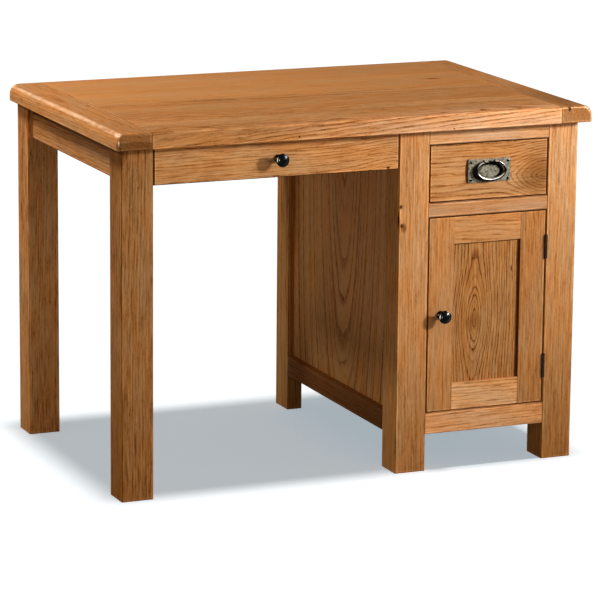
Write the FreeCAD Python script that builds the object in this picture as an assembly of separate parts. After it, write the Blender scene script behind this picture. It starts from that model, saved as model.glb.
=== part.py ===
import FreeCAD, Part

import math
import os
from collections import namedtuple

from FreeCAD import Vector

# Single pedestal kneehole desk in oak, in millimetres.
# The origin is on the floor under the middle of the top, X runs to the right,
# Y runs to the back and Z runs up.

# Size over all
desk_width = 1080.0
desk_depth = 700.0
desk_height = 780.0

# Top: glued boards between two end boards that lie across them
top_thickness = 36.0
top_board_count = 4
end_board_width = 75.0
top_side_round = 16.0
top_front_round = 5.0
top_under_bevel = 2.0
tongue_thickness = 12.0
tongue_length = 20.0
tongue_stop = 30.0
side_overhang = 19.0
front_overhang = 32.0
back_overhang = 3.0

# Legs: five square ones, and a slim one behind the pedestal's inner side
leg_width = 70.0
slim_leg_width = 36.0
leg_arris = 2.5
pedestal_width = 420.0

# Rails of the frame
apron_height = 74.0
apron_thickness = 22.0
apron_setback = 12.0
tie_rail_thickness = 20.0
tie_rail_depth = 22.0
side_rail_thickness = 30.0
foot_clearance = 81.0
bottom_rail_height = 46.0
front_top_rail_height = 33.0
mid_rail_height = 30.0
front_rail_thickness = 28.0
back_rail_thickness = 24.0
back_setback = 6.0
drawer_opening_height = 126.0

# Joints between rails, panels and legs
tenon_length = 22.0
slim_tenon_length = 14.0
tenon_cheek = 5.0
groove_depth = 8.0
end_relief = 0.5

# Panels, floor and shelf of the pedestal
side_panel_thickness = 8.0
side_panel_setback = 14.0
back_panel_thickness = 6.0
floor_thickness = 16.0
floor_drop = 7.0
shelf_thickness = 18.0
shelf_height = 340.0
shelf_play = 0.5
bearer_width = 24.0
bearer_height = 18.0

# Fronts: two drawers and a door, let in between the legs
front_gap = 1.5
front_setback = 1.0
front_arris = 1.5
drawer_front_thickness = 22.0

# Drawer boxes
drawer_side_thickness = 14.0
drawer_back_thickness = 14.0
drawer_back_drop = 6.0
drawer_bottom_thickness = 6.0
drawer_bottom_lift = 8.0
drawer_groove_depth = 5.0
dovetail_length = 14.0
dovetail_neck = 12.0
dovetail_flare = 2.5
slide_clearance = 0.3

# Wide drawer over the kneehole, hung on strips that run in its sides
knee_front_height = 79.0
knee_side_height = 48.0
knee_side_lift = 8.0
knee_drawer_room = 94.0
knee_dovetails = 2
knee_runner_height = 16.0
knee_runner_lift = 19.0
knee_runner_start = 9.0
knee_groove_depth = 8.0

# Drawer in the pedestal, on runners with a guide beside it and a kicker above
pedestal_side_drop = 6.0
pedestal_dovetails = 4
runner_ledge = 20.0
runner_thickness = 16.0
runner_tongue = 8.0
guide_width = 34.0
guide_height = 18.0
kicker_width = 20.0
kicker_height = 20.0
kicker_clearance = 1.5

# Door: frame and flat panel
door_thickness = 22.0
door_frame_width = 60.0
door_panel_thickness = 8.0
door_panel_setback = 6.0
door_groove_depth = 8.0
door_tenon_length = 30.0
door_tenon_thickness = 8.0

# Turned knobs with a stud that goes through the wood
knob_radius = 14.5
knob_projection = 32.0
knob_head_depth = 11.0
knob_rim_radius = 3.5
knob_neck_radius = 5.5
knob_foot_radius = 9.0
knob_foot_depth = 2.5
knob_stud_radius = 2.5
knob_sides = 24
knob_neck_bands = 4
knob_rim_bands = 4
knob_dome_bands = 4

# Drop handle: back plate, pins, two eyed posts and the bail
plate_width = 100.0
plate_height = 51.0
plate_thickness = 2.5
plate_corner_radius = 4.0
plate_bevel = 1.2
boss_width = 48.0
boss_height = 30.0
boss_rise = 1.5
pin_inset = 6.5
pin_head_radius = 3.2
pin_crown_radius = 1.4
pin_head_rise = 1.8
pin_shank_radius = 1.1
pin_shank_length = 12.0
pin_sides = 16
post_spacing = 26.0
post_rise = 18.0
post_reach = 8.0
post_eye_radius = 4.5
post_eye_length = 10.0
post_stem_radius = 2.5
bail_width = 74.0
bail_drop = 37.0
bail_rod_radius = 3.2
bail_top_radius = 2.4
bail_end_radius = 1.9
bail_end_overlap = 0.5
bail_bore_clearance = 0.3
bail_corner_share = 0.95
bail_sides = 10
bail_bends = 6

# Butt hinges of the door
hinge_length = 52.0
hinge_inset = 55.0
hinge_leaf_width = 20.0
hinge_leaf_thickness = 1.5
hinge_leaf_gap = 0.4
hinge_knuckle_radius = 3.5
hinge_knuckle_count = 3
hinge_knuckle_gap = 0.3
hinge_pin_radius = 1.6
hinge_pin_clearance = 0.2
hinge_proud = 2.0
hinge_notch_clearance = 0.5

# Magnetic catch under the middle rail and its strike on the door
catch_width = 40.0
catch_height = 14.0
catch_depth = 24.0
catch_inset = 70.0
strike_width = 30.0
strike_height = 12.0
strike_thickness = 1.2

# Cuts run past a face by this much, and an edge lies on a plane within this
cut_overrun = 1.0
touch = 0.001

bail_angles = [2 * math.pi * side / bail_sides for side in range(bail_sides)]

Zone = namedtuple("Zone", "x0 x1 y0 y1 z0 z1")
pieces = {}

# Planes that many pieces share
under_top = desk_height - top_thickness
frame_left = -desk_width / 2 + side_overhang
frame_right = desk_width / 2 - side_overhang
frame_front = -desk_depth / 2 + front_overhang
frame_back = desk_depth / 2 - back_overhang
pedestal_left = frame_right - pedestal_width
front_leg_back = frame_front + leg_width
rear_leg_front = frame_back - leg_width
opening_left = pedestal_left + leg_width
opening_right = frame_right - leg_width
slim_leg_inside = pedestal_left + slim_leg_width
apron_bottom = under_top - apron_height
apron_rear_front = frame_back - apron_setback - apron_thickness
drawer_opening_top = under_top - front_top_rail_height
drawer_opening_bottom = drawer_opening_top - drawer_opening_height
door_opening_top = drawer_opening_bottom - mid_rail_height
door_opening_bottom = foot_clearance + bottom_rail_height
front_rail_back = frame_front + front_rail_thickness
back_rail_back = frame_back - back_setback
back_rail_front = back_rail_back - back_rail_thickness
back_panel_front = back_rail_back - (back_rail_thickness + back_panel_thickness) / 2
front_face = frame_front + front_setback
tenon_shoulder = groove_depth + end_relief


def block(zone):
    """A box that fills a zone."""
    size = (zone.x1 - zone.x0, zone.y1 - zone.y0, zone.z1 - zone.z0)
    return Part.makeBox(*size, Vector(zone.x0, zone.y0, zone.z0))


def grown(zone, x=0, y=0, z=0):
    """The zone with each pair of faces moved outwards."""
    return Zone(zone.x0 - x, zone.x1 + x, zone.y0 - y, zone.y1 + y, zone.z0 - z, zone.z1 + z)


def joined(*shapes):
    """One solid from shapes that meet, without the seams between them."""
    return shapes[0].fuse(list(shapes[1:])).removeSplitter()


def cut_from(names, tool):
    """Take the tool's shape out of the named pieces."""
    for name in names:
        pieces[name] = pieces[name].cut(tool)


def eased(shape, radius, chosen):
    """Round the chosen edges."""
    return shape.makeFillet(radius, [edge for edge in shape.Edges if chosen(edge)])


def bevelled(shape, size, chosen):
    """Plane a flat bevel on the chosen edges."""
    return shape.makeChamfer(size, [edge for edge in shape.Edges if chosen(edge)])


def flat_face(corners):
    """A flat face with these corners."""
    return Part.Face(Part.makePolygon(corners + corners[:1]))


def turned(outline, seat, sides):
    """A solid of flat sides turned about Y: each (radius, out) pair is a ring in front of the seat."""
    angles = [2 * math.pi * side / sides for side in range(sides)]
    rings = [[Vector(radius * math.cos(angle), -out, radius * math.sin(angle)) + seat
              for angle in angles] for radius, out in outline]
    faces = [flat_face(rings[0]), flat_face(rings[-1])]
    for near, far in zip(rings, rings[1:]):
        for side in range(sides):
            faces.append(flat_face([near[side - 1], near[side], far[side], far[side - 1]]))
    skin = Part.makeShell(faces)
    skin.sewShape()
    solid = Part.Solid(skin)
    return solid if solid.Volume > 0 else solid.reversed()


def is_upright(edge):
    box = edge.BoundBox
    return box.XLength < touch and box.YLength < touch


def at_height(height):
    return lambda edge: abs(edge.BoundBox.ZMin - height) + abs(edge.BoundBox.ZMax - height) < touch


def on_front(plane):
    return lambda edge: abs(edge.BoundBox.YMin - plane) + abs(edge.BoundBox.YMax - plane) < touch


def tenoned_in_x(name, zone, into, left_length=tenon_length, right_length=tenon_length):
    """A rail along X with a tenon on each end, and their mortises in the pieces it joins."""
    tenon = grown(zone, y=-tenon_cheek, z=-tenon_shoulder)
    tenon = tenon._replace(x0=zone.x0 - left_length, x1=zone.x1 + right_length)
    pieces[name] = joined(block(zone), block(tenon))
    cut_from(into, block(grown(tenon, x=end_relief)))


def tenoned_in_y(name, zone, into):
    """A rail along Y with a tenon on each end, and their mortises in the pieces it joins."""
    tenon = grown(grown(zone, x=-tenon_cheek, z=-tenon_shoulder), y=tenon_length)
    pieces[name] = joined(block(zone), block(tenon))
    cut_from(into, block(grown(tenon, y=end_relief)))


def make_top():
    """Boards with tongues on their ends, held in the grooves of the two end boards."""

    def is_top_side(edge):
        return edge.BoundBox.ZMin > under_top + touch and edge.BoundBox.XLength < touch

    def is_end_outline(edge):
        return edge.BoundBox.ZMax > under_top + touch and edge.BoundBox.YLength < touch

    slab = block(Zone(-desk_width / 2, desk_width / 2, -desk_depth / 2, desk_depth / 2,
                      under_top, desk_height))
    slab = eased(slab, top_side_round, is_top_side)
    slab = eased(slab, min(top_front_round, top_side_round - touch), is_end_outline)
    slab = bevelled(slab, top_under_bevel, at_height(under_top))
    field_right = desk_width / 2 - end_board_width
    middle = (under_top + desk_height) / 2
    board_width = desk_depth / top_board_count
    whole_tongue = block(Zone(-field_right - tongue_length, field_right + tongue_length,
                              -desk_depth / 2 + tongue_stop, desk_depth / 2 - tongue_stop,
                              middle - tongue_thickness / 2, middle + tongue_thickness / 2))
    for number in range(top_board_count):
        front = -desk_depth / 2 + number * board_width
        reach = Zone(-desk_width, desk_width, front, front + board_width, under_top, desk_height)
        field = reach._replace(x0=-field_right, x1=field_right)
        pieces["top_board_%d" % (number + 1)] = joined(slab.common(block(field)),
                                                       whole_tongue.common(block(reach)))
    reach = Zone(-desk_width, desk_width, -desk_depth, desk_depth, under_top, desk_height)
    pieces["top_end_left"] = slab.common(block(reach._replace(x1=-field_right)))
    pieces["top_end_right"] = slab.common(block(reach._replace(x0=field_right)))
    cut_from(["top_end_left", "top_end_right"], whole_tongue)


def make_legs():
    """Straight legs with softened edges, flat at the top under the desk top."""
    columns = {
        "leg_left": (frame_left, frame_left + leg_width, frame_left + leg_width),
        "leg_pedestal": (pedestal_left, opening_left, slim_leg_inside),
        "leg_right": (opening_right, frame_right, frame_right),
    }
    for name, (left, front_right, rear_right) in columns.items():
        front = Zone(left, front_right, frame_front, front_leg_back, 0, under_top)
        rear = Zone(left, rear_right, rear_leg_front, frame_back, 0, under_top)
        for place, zone in (("front", front), ("rear", rear)):
            pieces["%s_%s" % (name, place)] = eased(block(zone), leg_arris, is_upright)


def make_kneehole_frame():
    """Aprons on the open side and at the back, and the flat rail that ties the front legs."""
    left = frame_left + apron_setback
    tenoned_in_y("apron_left",
                 Zone(left, left + apron_thickness, front_leg_back, rear_leg_front,
                      apron_bottom, under_top),
                 ["leg_left_front", "leg_left_rear"])
    tenoned_in_x("apron_rear",
                 Zone(frame_left + leg_width, pedestal_left, apron_rear_front,
                      apron_rear_front + apron_thickness, apron_bottom, under_top),
                 ["leg_left_rear", "leg_pedestal_rear"], right_length=slim_tenon_length)
    tie_front = front_face + drawer_front_thickness + front_gap
    tie = Zone(frame_left + leg_width, pedestal_left, tie_front, tie_front + tie_rail_depth,
               under_top - tie_rail_thickness, under_top)
    tenon = grown(tie, x=tenon_length, y=-tenon_cheek, z=-tenon_cheek)
    pieces["kneehole_tie_rail"] = joined(block(tie), block(tenon))
    cut_from(["leg_left_front", "leg_pedestal_front"], block(grown(tenon, x=end_relief)))


def make_pedestal_sides():
    """Two side frames: a top and a bottom rail between the legs, and a panel in their grooves."""
    sides = {
        "left": (pedestal_left, pedestal_left + side_panel_setback,
                 ["leg_pedestal_front", "leg_pedestal_rear"]),
        "right": (frame_right - side_rail_thickness,
                  frame_right - side_panel_setback - side_panel_thickness,
                  ["leg_right_front", "leg_right_rear"]),
    }
    for side, (rail_left, panel_left, legs) in sides.items():
        rail = Zone(rail_left, rail_left + side_rail_thickness, front_leg_back, rear_leg_front,
                    apron_bottom, under_top)
        top_rail = "pedestal_%s_top_rail" % side
        bottom_rail = "pedestal_%s_bottom_rail" % side
        tenoned_in_y(top_rail, rail, legs)
        tenoned_in_y(bottom_rail, rail._replace(z0=foot_clearance, z1=door_opening_bottom), legs)
        panel = grown(Zone(panel_left, panel_left + side_panel_thickness, front_leg_back,
                           rear_leg_front, door_opening_bottom, apron_bottom),
                      y=groove_depth, z=groove_depth)
        pieces["pedestal_%s_panel" % side] = block(panel)
        cut_from(legs + [top_rail, bottom_rail], block(panel))


def make_pedestal_front():
    """Three rails between the front legs: over the drawer, under it and under the door."""
    legs = ["leg_pedestal_front", "leg_right_front"]
    rail = Zone(opening_left, opening_right, frame_front, front_rail_back,
                drawer_opening_top, under_top)
    tenoned_in_x("pedestal_front_top_rail", rail, legs)
    tenoned_in_x("pedestal_front_bottom_rail",
                 rail._replace(z0=foot_clearance, z1=door_opening_bottom), legs)
    tenoned_in_x("pedestal_front_mid_rail",
                 rail._replace(y1=front_leg_back, z0=door_opening_top, z1=drawer_opening_bottom),
                 legs)


def make_pedestal_back():
    """Rails between the rear legs, and a thin panel in the grooves of the outer two."""
    legs = ["leg_pedestal_rear", "leg_right_rear"]
    rail = Zone(slim_leg_inside, opening_right, back_rail_front, back_rail_back,
                apron_bottom, under_top)
    tenoned_in_x("pedestal_back_top_rail", rail, legs, left_length=slim_tenon_length)
    tenoned_in_x("pedestal_back_bottom_rail",
                 rail._replace(z0=foot_clearance, z1=door_opening_bottom), legs,
                 left_length=slim_tenon_length)
    tenoned_in_x("pedestal_back_mid_rail",
                 rail._replace(y0=rear_leg_front, y1=back_panel_front,
                               z0=door_opening_top, z1=drawer_opening_bottom),
                 legs, left_length=slim_tenon_length)
    panel = grown(Zone(slim_leg_inside, opening_right, back_panel_front,
                       back_panel_front + back_panel_thickness, door_opening_bottom, apron_bottom),
                  x=groove_depth, z=groove_depth)
    pieces["pedestal_back_panel"] = block(panel)
    cut_from(legs + ["pedestal_back_top_rail", "pedestal_back_bottom_rail"], block(panel))


def make_cupboard_boards():
    """The floor, let into the bottom rails and notched round the legs, and a shelf on bearers."""
    floor_top = door_opening_bottom - floor_drop - groove_depth
    floor = grown(Zone(pedestal_left + side_rail_thickness, frame_right - side_rail_thickness,
                       front_rail_back, back_rail_front, floor_top - floor_thickness, floor_top),
                  x=groove_depth, y=groove_depth)
    board = block(floor)
    for left, right, front, back in (
            (pedestal_left, opening_left, frame_front, front_leg_back),
            (opening_right, frame_right, frame_front, front_leg_back),
            (pedestal_left, slim_leg_inside, rear_leg_front, frame_back),
            (opening_right, frame_right, rear_leg_front, frame_back)):
        notch = Zone(left, right, front, back, floor.z0, floor.z1)
        board = board.cut(block(grown(notch, z=cut_overrun)))
    pieces["cupboard_floor"] = board
    cut_from(["pedestal_%s_bottom_rail" % side for side in ("left", "right", "front", "back")],
             board)
    inside_left = pedestal_left + side_panel_setback + side_panel_thickness
    inside_right = frame_right - side_panel_setback - side_panel_thickness
    shelf = Zone(inside_left, inside_right, front_leg_back, rear_leg_front,
                 shelf_height, shelf_height + shelf_thickness)
    pieces["cupboard_shelf"] = block(grown(shelf, x=-shelf_play, y=-shelf_play))
    bearer = shelf._replace(z0=shelf_height - bearer_height, z1=shelf_height)
    pieces["shelf_bearers"] = Part.makeCompound([
        block(bearer._replace(x1=inside_left + bearer_width)),
        block(bearer._replace(x0=inside_right - bearer_width))])


def make_drawer_supports():
    """Runners with guides and kickers for the pedestal drawer, strips for the wide drawer."""
    ledge_top = drawer_opening_bottom
    runners = []
    kickers = []
    kicker_bottom = drawer_opening_top - front_gap - pedestal_side_drop + kicker_clearance
    for inner, inward in ((opening_left, 1), (opening_right, -1)):
        ledge_edge = inner + inward * runner_ledge
        guide_edge = inner - inward * guide_width
        ledge = Zone(min(ledge_edge, guide_edge), max(ledge_edge, guide_edge), front_leg_back,
                     rear_leg_front, ledge_top - runner_thickness, ledge_top)
        guide = ledge._replace(x0=min(inner, guide_edge), x1=max(inner, guide_edge),
                               z0=ledge_top, z1=ledge_top + guide_height)
        tongue = ledge._replace(x0=min(inner, ledge_edge), x1=max(inner, ledge_edge),
                                z0=ledge.z0 + runner_thickness / 4,
                                z1=ledge.z1 - runner_thickness / 4)
        tongue = grown(tongue, y=runner_tongue)
        runners.append(joined(block(ledge), block(guide), block(tongue)))
        cut_from(["pedestal_front_mid_rail", "pedestal_back_mid_rail"],
                 block(grown(tongue, y=end_relief)))
        kicker_edge = inner + inward * kicker_width
        kickers.append(block(Zone(min(inner, kicker_edge), max(inner, kicker_edge),
                                  front_rail_back, back_rail_front,
                                  kicker_bottom, kicker_bottom + kicker_height)))
    pieces["drawer_runners"] = Part.makeCompound(runners)
    pieces["drawer_kickers"] = Part.makeCompound(kickers)
    strip_reach = front_gap + knee_groove_depth - end_relief
    strip = Zone(frame_left + leg_width, frame_left + leg_width + strip_reach,
                 front_face + drawer_front_thickness + knee_runner_start,
                 apron_rear_front, knee_runner_bottom, knee_runner_bottom + knee_runner_height)
    pieces["kneehole_drawer_runners"] = Part.makeCompound([
        block(strip),
        block(strip._replace(x0=pedestal_left - strip_reach, x1=pedestal_left))])


def dovetails(side, front_back, count):
    """Tails on the front end of a drawer side, wider at their tips than at their necks."""
    pitch = (side.z1 - side.z0) / count
    tip = front_back - dovetail_length
    tails = []
    for number in range(count):
        middle = side.z0 + (number + 1 / 2) * pitch
        neck = min(dovetail_neck, pitch / 2) / 2
        wide = neck + dovetail_flare
        outline = Part.makePolygon([Vector(side.x0, front_back, middle - neck),
                                    Vector(side.x0, tip, middle - wide),
                                    Vector(side.x0, tip, middle + wide),
                                    Vector(side.x0, front_back, middle + neck),
                                    Vector(side.x0, front_back, middle - neck)])
        tails.append(Part.Face(outline).extrude(Vector(side.x1 - side.x0, 0, 0)))
    return tails


def make_drawer_box(name, front, side_bottom, side_top, back_end, tail_count):
    """A front, two sides dovetailed into it, a back housed in the sides and a bottom in grooves."""
    front_back = front_face + drawer_front_thickness
    face = eased(block(front), front_arris, on_front(front_face))
    left = Zone(front.x0, front.x0 + drawer_side_thickness, front_back, back_end,
                side_bottom, side_top)
    right = left._replace(x0=front.x1 - drawer_side_thickness, x1=front.x1)
    bottom_z = side_bottom + drawer_bottom_lift
    bottom = Zone(left.x1 - drawer_groove_depth, right.x0 + drawer_groove_depth,
                  front_back - drawer_groove_depth, back_end,
                  bottom_z, bottom_z + drawer_bottom_thickness)
    back = Zone(bottom.x0, bottom.x1, back_end - 2 * drawer_back_thickness,
                back_end - drawer_back_thickness, bottom.z1, side_top - drawer_back_drop)
    pieces[name + "_front"] = face
    for place, side in (("left", left), ("right", right)):
        tails = dovetails(side, front_back, tail_count)
        cut_from([name + "_front"], Part.makeCompound(tails))
        pieces["%s_side_%s" % (name, place)] = joined(block(side), *tails)
    sides = [name + "_side_left", name + "_side_right"]
    pieces[name + "_bottom"] = block(bottom)
    pieces[name + "_back"] = block(back)
    cut_from(sides + [name + "_front"], block(bottom))
    cut_from(sides, block(back))


def make_kneehole_drawer():
    """The wide drawer, with a stopped groove in each side that its strip runs in."""
    make_drawer_box("kneehole_drawer", knee_front, knee_side_bottom,
                    knee_side_bottom + knee_side_height,
                    apron_rear_front - knee_drawer_room, knee_dovetails)
    groove_start = front_face + drawer_front_thickness + knee_runner_start - slide_clearance
    groove = Zone(knee_front.x0 - cut_overrun, knee_front.x0 + knee_groove_depth, groove_start,
                  frame_back, knee_runner_bottom - slide_clearance,
                  knee_runner_bottom + knee_runner_height + slide_clearance)
    cut_from(["kneehole_drawer_side_left"], block(groove))
    cut_from(["kneehole_drawer_side_right"],
             block(groove._replace(x0=knee_front.x1 - knee_groove_depth,
                                   x1=knee_front.x1 + cut_overrun)))


def make_knob(name, wood, x, z, wood_thickness):
    """A turned knob: foot, hollowed neck, head with a round rim and a low dome, and a stud."""
    neck_end = knob_projection - knob_head_depth
    rim_centre = knob_radius - knob_rim_radius
    dome_edge = neck_end + 2 * knob_rim_radius
    dome_rise = knob_projection - dome_edge
    outline = [(knob_foot_radius, 0), (knob_foot_radius, knob_foot_depth)]
    for step in range(1, knob_neck_bands + 1):
        share = step / knob_neck_bands
        hollow = 4 * share * (1 - share)
        straight = knob_foot_radius + (rim_centre - knob_foot_radius) * share
        waist = (knob_foot_radius + rim_centre) / 2 - knob_neck_radius
        outline.append((straight - hollow * waist,
                        knob_foot_depth + (neck_end - knob_foot_depth) * share))
    for step in range(1, knob_rim_bands + 1):
        angle = math.pi * (step / knob_rim_bands - 1 / 2)
        outline.append((rim_centre + knob_rim_radius * math.cos(angle),
                        neck_end + knob_rim_radius * (1 + math.sin(angle))))
    for step in range(1, knob_dome_bands):
        share = 1 - step / knob_dome_bands
        outline.append((rim_centre * share, dome_edge + dome_rise * (1 - share ** 2)))
    seat = Vector(x, front_face, z)
    head = turned(outline, seat, knob_sides)
    stud = Part.makeCylinder(knob_stud_radius, wood_thickness, seat, Vector(0, 1, 0))
    pieces[name] = joined(head, stud)
    cut_from([wood], stud)


def make_handle():
    """Back plate with a raised oval, corner pins, eyed posts, and the bail that hangs in them."""
    x = (opening_left + opening_right) / 2
    z = (drawer_opening_top + drawer_opening_bottom) / 2
    plate_front = front_face - plate_thickness
    zone = Zone(x - plate_width / 2, x + plate_width / 2, plate_front, front_face,
                z - plate_height / 2, z + plate_height / 2)
    outward = Vector(0, -1, 0)

    def is_depth_edge(edge):
        return edge.BoundBox.XLength + edge.BoundBox.ZLength < touch

    plate = eased(block(zone), plate_corner_radius, is_depth_edge)
    plate = bevelled(plate, plate_bevel, on_front(plate_front))
    oval = Part.Ellipse(Vector(0, 0, 0), boss_width / 2, boss_height / 2).toShape()
    oval = Part.Face(Part.Wire([oval]))
    oval.rotate(Vector(0, 0, 0), Vector(1, 0, 0), 90)
    oval.translate(Vector(x, front_face, z))
    plate = joined(plate, oval.extrude(outward * (plate_thickness + boss_rise)))
    pieces["handle_plate"] = plate
    carriers = ["handle_plate", "pedestal_drawer_front"]

    pins = []
    for across in (zone.x0 + pin_inset, zone.x1 - pin_inset):
        for up in (zone.z0 + pin_inset, zone.z1 - pin_inset):
            seat = Vector(across, plate_front, up)
            head = turned([(pin_head_radius, 0), (pin_crown_radius, pin_head_rise)], seat, pin_sides)
            shank = turned([(pin_shank_radius, 0), (pin_shank_radius, -pin_shank_length)], seat,
                           pin_sides)
            pins.append(joined(head, shank))
            cut_from(carriers, shank)
    pieces["handle_pins"] = Part.makeCompound(pins)

    axis = Vector(x, plate_front - post_reach, z + post_rise)
    posts = []
    for turn in (-1, 1):
        eye_middle = axis + Vector(turn * post_spacing / 2, 0, 0)
        stem_length = post_reach + plate_thickness + drawer_front_thickness
        stem = turned([(post_stem_radius, 0), (post_stem_radius, -stem_length)], eye_middle, pin_sides)
        cut_from(carriers, stem)
        bore = Part.makeCylinder(bail_end_radius + bail_bore_clearance, 2 * post_spacing,
                                 axis - Vector(post_spacing, 0, 0), Vector(1, 0, 0))
        eye = Part.makeCylinder(post_eye_radius, post_eye_length,
                                eye_middle - Vector(post_eye_length / 2, 0, 0), Vector(1, 0, 0))
        posts.append(joined(eye, stem).cut(bore))
    pieces["handle_posts"] = Part.makeCompound(posts)
    pieces["handle_bail"] = make_bail(axis)


def make_bail(axis):
    """A rod bent to a drop shape, fuller at the bottom, with thin ends that turn in the eyes."""
    half = bail_width / 2 - bail_rod_radius
    end = (post_spacing + post_eye_length) / 2 + bail_bore_clearance
    shoulder = half - end
    corner = bail_corner_share * min(half, bail_drop - shoulder)
    right_half = []
    for centre_x, centre_z, radius, first in ((end, -shoulder, shoulder, math.pi / 2),
                                              (half - corner, corner - bail_drop, corner, 0)):
        for step in range(bail_bends + 1):
            angle = first - math.pi / 2 * step / bail_bends
            right_half.append((centre_x + radius * math.cos(angle),
                               centre_z + radius * math.sin(angle), angle))
    left_half = [(-across, height, math.pi - angle) for across, height, angle in right_half]
    rings = []
    for across, height, angle in right_half + left_half[::-1]:
        radius = bail_top_radius - (bail_rod_radius - bail_top_radius) * height / bail_drop
        outward = Vector(math.cos(angle), 0, math.sin(angle))
        corners = [Vector(across, 0, height) + outward * (radius * math.cos(side))
                   + Vector(0, radius * math.sin(side), 0) for side in bail_angles]
        rings.append(Part.makePolygon(corners + corners[:1]))
    rod = Part.makeLoft(rings, True, True)
    inner = (post_spacing - post_eye_length) / 2 + bail_bore_clearance
    ends = [Part.makeCylinder(bail_end_radius, end + bail_end_overlap - inner,
                              Vector(turn * inner, 0, 0), Vector(turn, 0, 0)) for turn in (-1, 1)]
    bail = joined(rod, *ends)
    bail.translate(axis)
    return bail


def make_pedestal_drawer():
    """The drawer in the pedestal, whose box reaches back to the back rail, and its handle."""
    front = grown(Zone(opening_left, opening_right, front_face, front_face + drawer_front_thickness,
                       drawer_opening_bottom, drawer_opening_top), x=-front_gap, z=-front_gap)
    make_drawer_box("pedestal_drawer", front, drawer_opening_bottom + slide_clearance,
                    front.z1 - pedestal_side_drop, back_rail_front - slide_clearance,
                    pedestal_dovetails)
    make_handle()


def make_door():
    """Two stiles and two rails, tenoned together round a flat panel, with a knob."""
    whole = grown(Zone(opening_left, opening_right, front_face, front_face + door_thickness,
                       door_opening_bottom, door_opening_top), x=-front_gap, z=-front_gap)
    frame = eased(block(whole), front_arris, on_front(front_face))
    inside = grown(whole, x=-door_frame_width, z=-door_frame_width)
    pieces["door_stile_left"] = frame.common(block(whole._replace(x1=inside.x0)))
    pieces["door_stile_right"] = frame.common(block(whole._replace(x0=inside.x1)))
    stiles = ["door_stile_left", "door_stile_right"]
    tenon_front = (whole.y0 + whole.y1 - door_tenon_thickness) / 2
    shoulder = door_groove_depth + end_relief
    for name, low, high in (("door_rail_top", inside.z1, whole.z1),
                            ("door_rail_bottom", whole.z0, inside.z0)):
        rail = inside._replace(z0=low, z1=high)
        tenon = grown(rail, x=door_tenon_length, z=-shoulder)
        tenon = tenon._replace(y0=tenon_front, y1=tenon_front + door_tenon_thickness)
        pieces[name] = joined(frame.common(block(rail)), block(tenon))
        cut_from(stiles, block(grown(tenon, x=end_relief)))
    panel = grown(inside, x=door_groove_depth, z=door_groove_depth)
    panel_front = front_face + door_panel_setback
    panel = panel._replace(y0=panel_front, y1=panel_front + door_panel_thickness)
    pieces["door_panel"] = block(panel)
    cut_from(stiles + ["door_rail_top", "door_rail_bottom"], block(panel))
    make_knob("door_knob", "door_stile_left", whole.x0 + door_frame_width / 2,
              (whole.z0 + whole.z1) / 2, door_thickness)
    make_hinges(whole)
    make_catch(whole)


def make_hinges(door):
    """Two butt hinges: leaves let into the stile and the leg, knuckles that mesh, and pins."""
    axis_x = (door.x1 + opening_right) / 2
    axis_y = front_face - hinge_proud
    up = Vector(0, 0, 1)
    pitch = hinge_length / hinge_knuckle_count
    leg_leaves = []
    door_leaves = []
    pins = []
    for low in (door.z0 + hinge_inset, door.z1 - hinge_inset - hinge_length):
        foot = Vector(axis_x, axis_y, low)
        leaf = Zone(axis_x + hinge_leaf_gap / 2, axis_x + hinge_leaf_gap / 2 + hinge_leaf_thickness,
                    axis_y, axis_y + hinge_leaf_width, low, low + hinge_length)
        mirrored = leaf._replace(x0=2 * axis_x - leaf.x1, x1=2 * axis_x - leaf.x0)
        cut_from(["leg_right_front"], block(leaf))
        cut_from(["door_stile_right"], block(mirrored))
        notch = Part.makeCylinder(hinge_knuckle_radius + hinge_notch_clearance,
                                  hinge_length + 2 * hinge_notch_clearance,
                                  foot - up * hinge_notch_clearance, up)
        cut_from(["leg_right_front", "door_stile_right"], notch)
        plates = [block(leaf), block(mirrored)]
        knuckles = [[], []]
        for number in range(hinge_knuckle_count):
            own = number % 2
            base = foot + up * (number * pitch)
            room = Part.makeCylinder(hinge_knuckle_radius + hinge_notch_clearance, pitch, base, up)
            plates[1 - own] = plates[1 - own].cut(room)
            knuckles[own].append(Part.makeCylinder(
                hinge_knuckle_radius, pitch - hinge_knuckle_gap,
                base + up * (hinge_knuckle_gap / 2), up))
        leg_bore = Part.makeCylinder(hinge_pin_radius, hinge_length, foot, up)
        door_bore = Part.makeCylinder(hinge_pin_radius + hinge_pin_clearance, hinge_length, foot, up)
        leg_leaves.append(joined(plates[0], *knuckles[0]).cut(leg_bore))
        door_leaves.append(joined(plates[1], *knuckles[1]).cut(door_bore))
        pins.append(leg_bore)
    pieces["hinge_leg_leaves"] = Part.makeCompound(leg_leaves)
    pieces["hinge_door_leaves"] = Part.makeCompound(door_leaves)
    pieces["hinge_pins"] = Part.makeCompound(pins)


def make_catch(door):
    """A magnet case screwed under the middle rail, and the strike plate that it holds."""
    middle = door.x0 + catch_inset
    strike = Zone(middle - strike_width / 2, middle + strike_width / 2,
                  door.y1, door.y1 + strike_thickness, door.z1 - strike_height, door.z1)
    pieces["door_strike"] = block(strike)
    case = Zone(middle - catch_width / 2, middle + catch_width / 2, strike.y1 + slide_clearance,
                strike.y1 + slide_clearance + catch_depth,
                door_opening_top - catch_height, door_opening_top)
    pieces["door_catch"] = block(case)


# The wide drawer's front, and the heights that its box and its strips share
knee_front = Zone(frame_left + leg_width + front_gap, pedestal_left - front_gap, front_face,
                  front_face + drawer_front_thickness,
                  under_top - front_gap - knee_front_height, under_top - front_gap)
knee_side_bottom = knee_front.z0 + knee_side_lift
knee_runner_bottom = knee_side_bottom + knee_runner_lift

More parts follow.
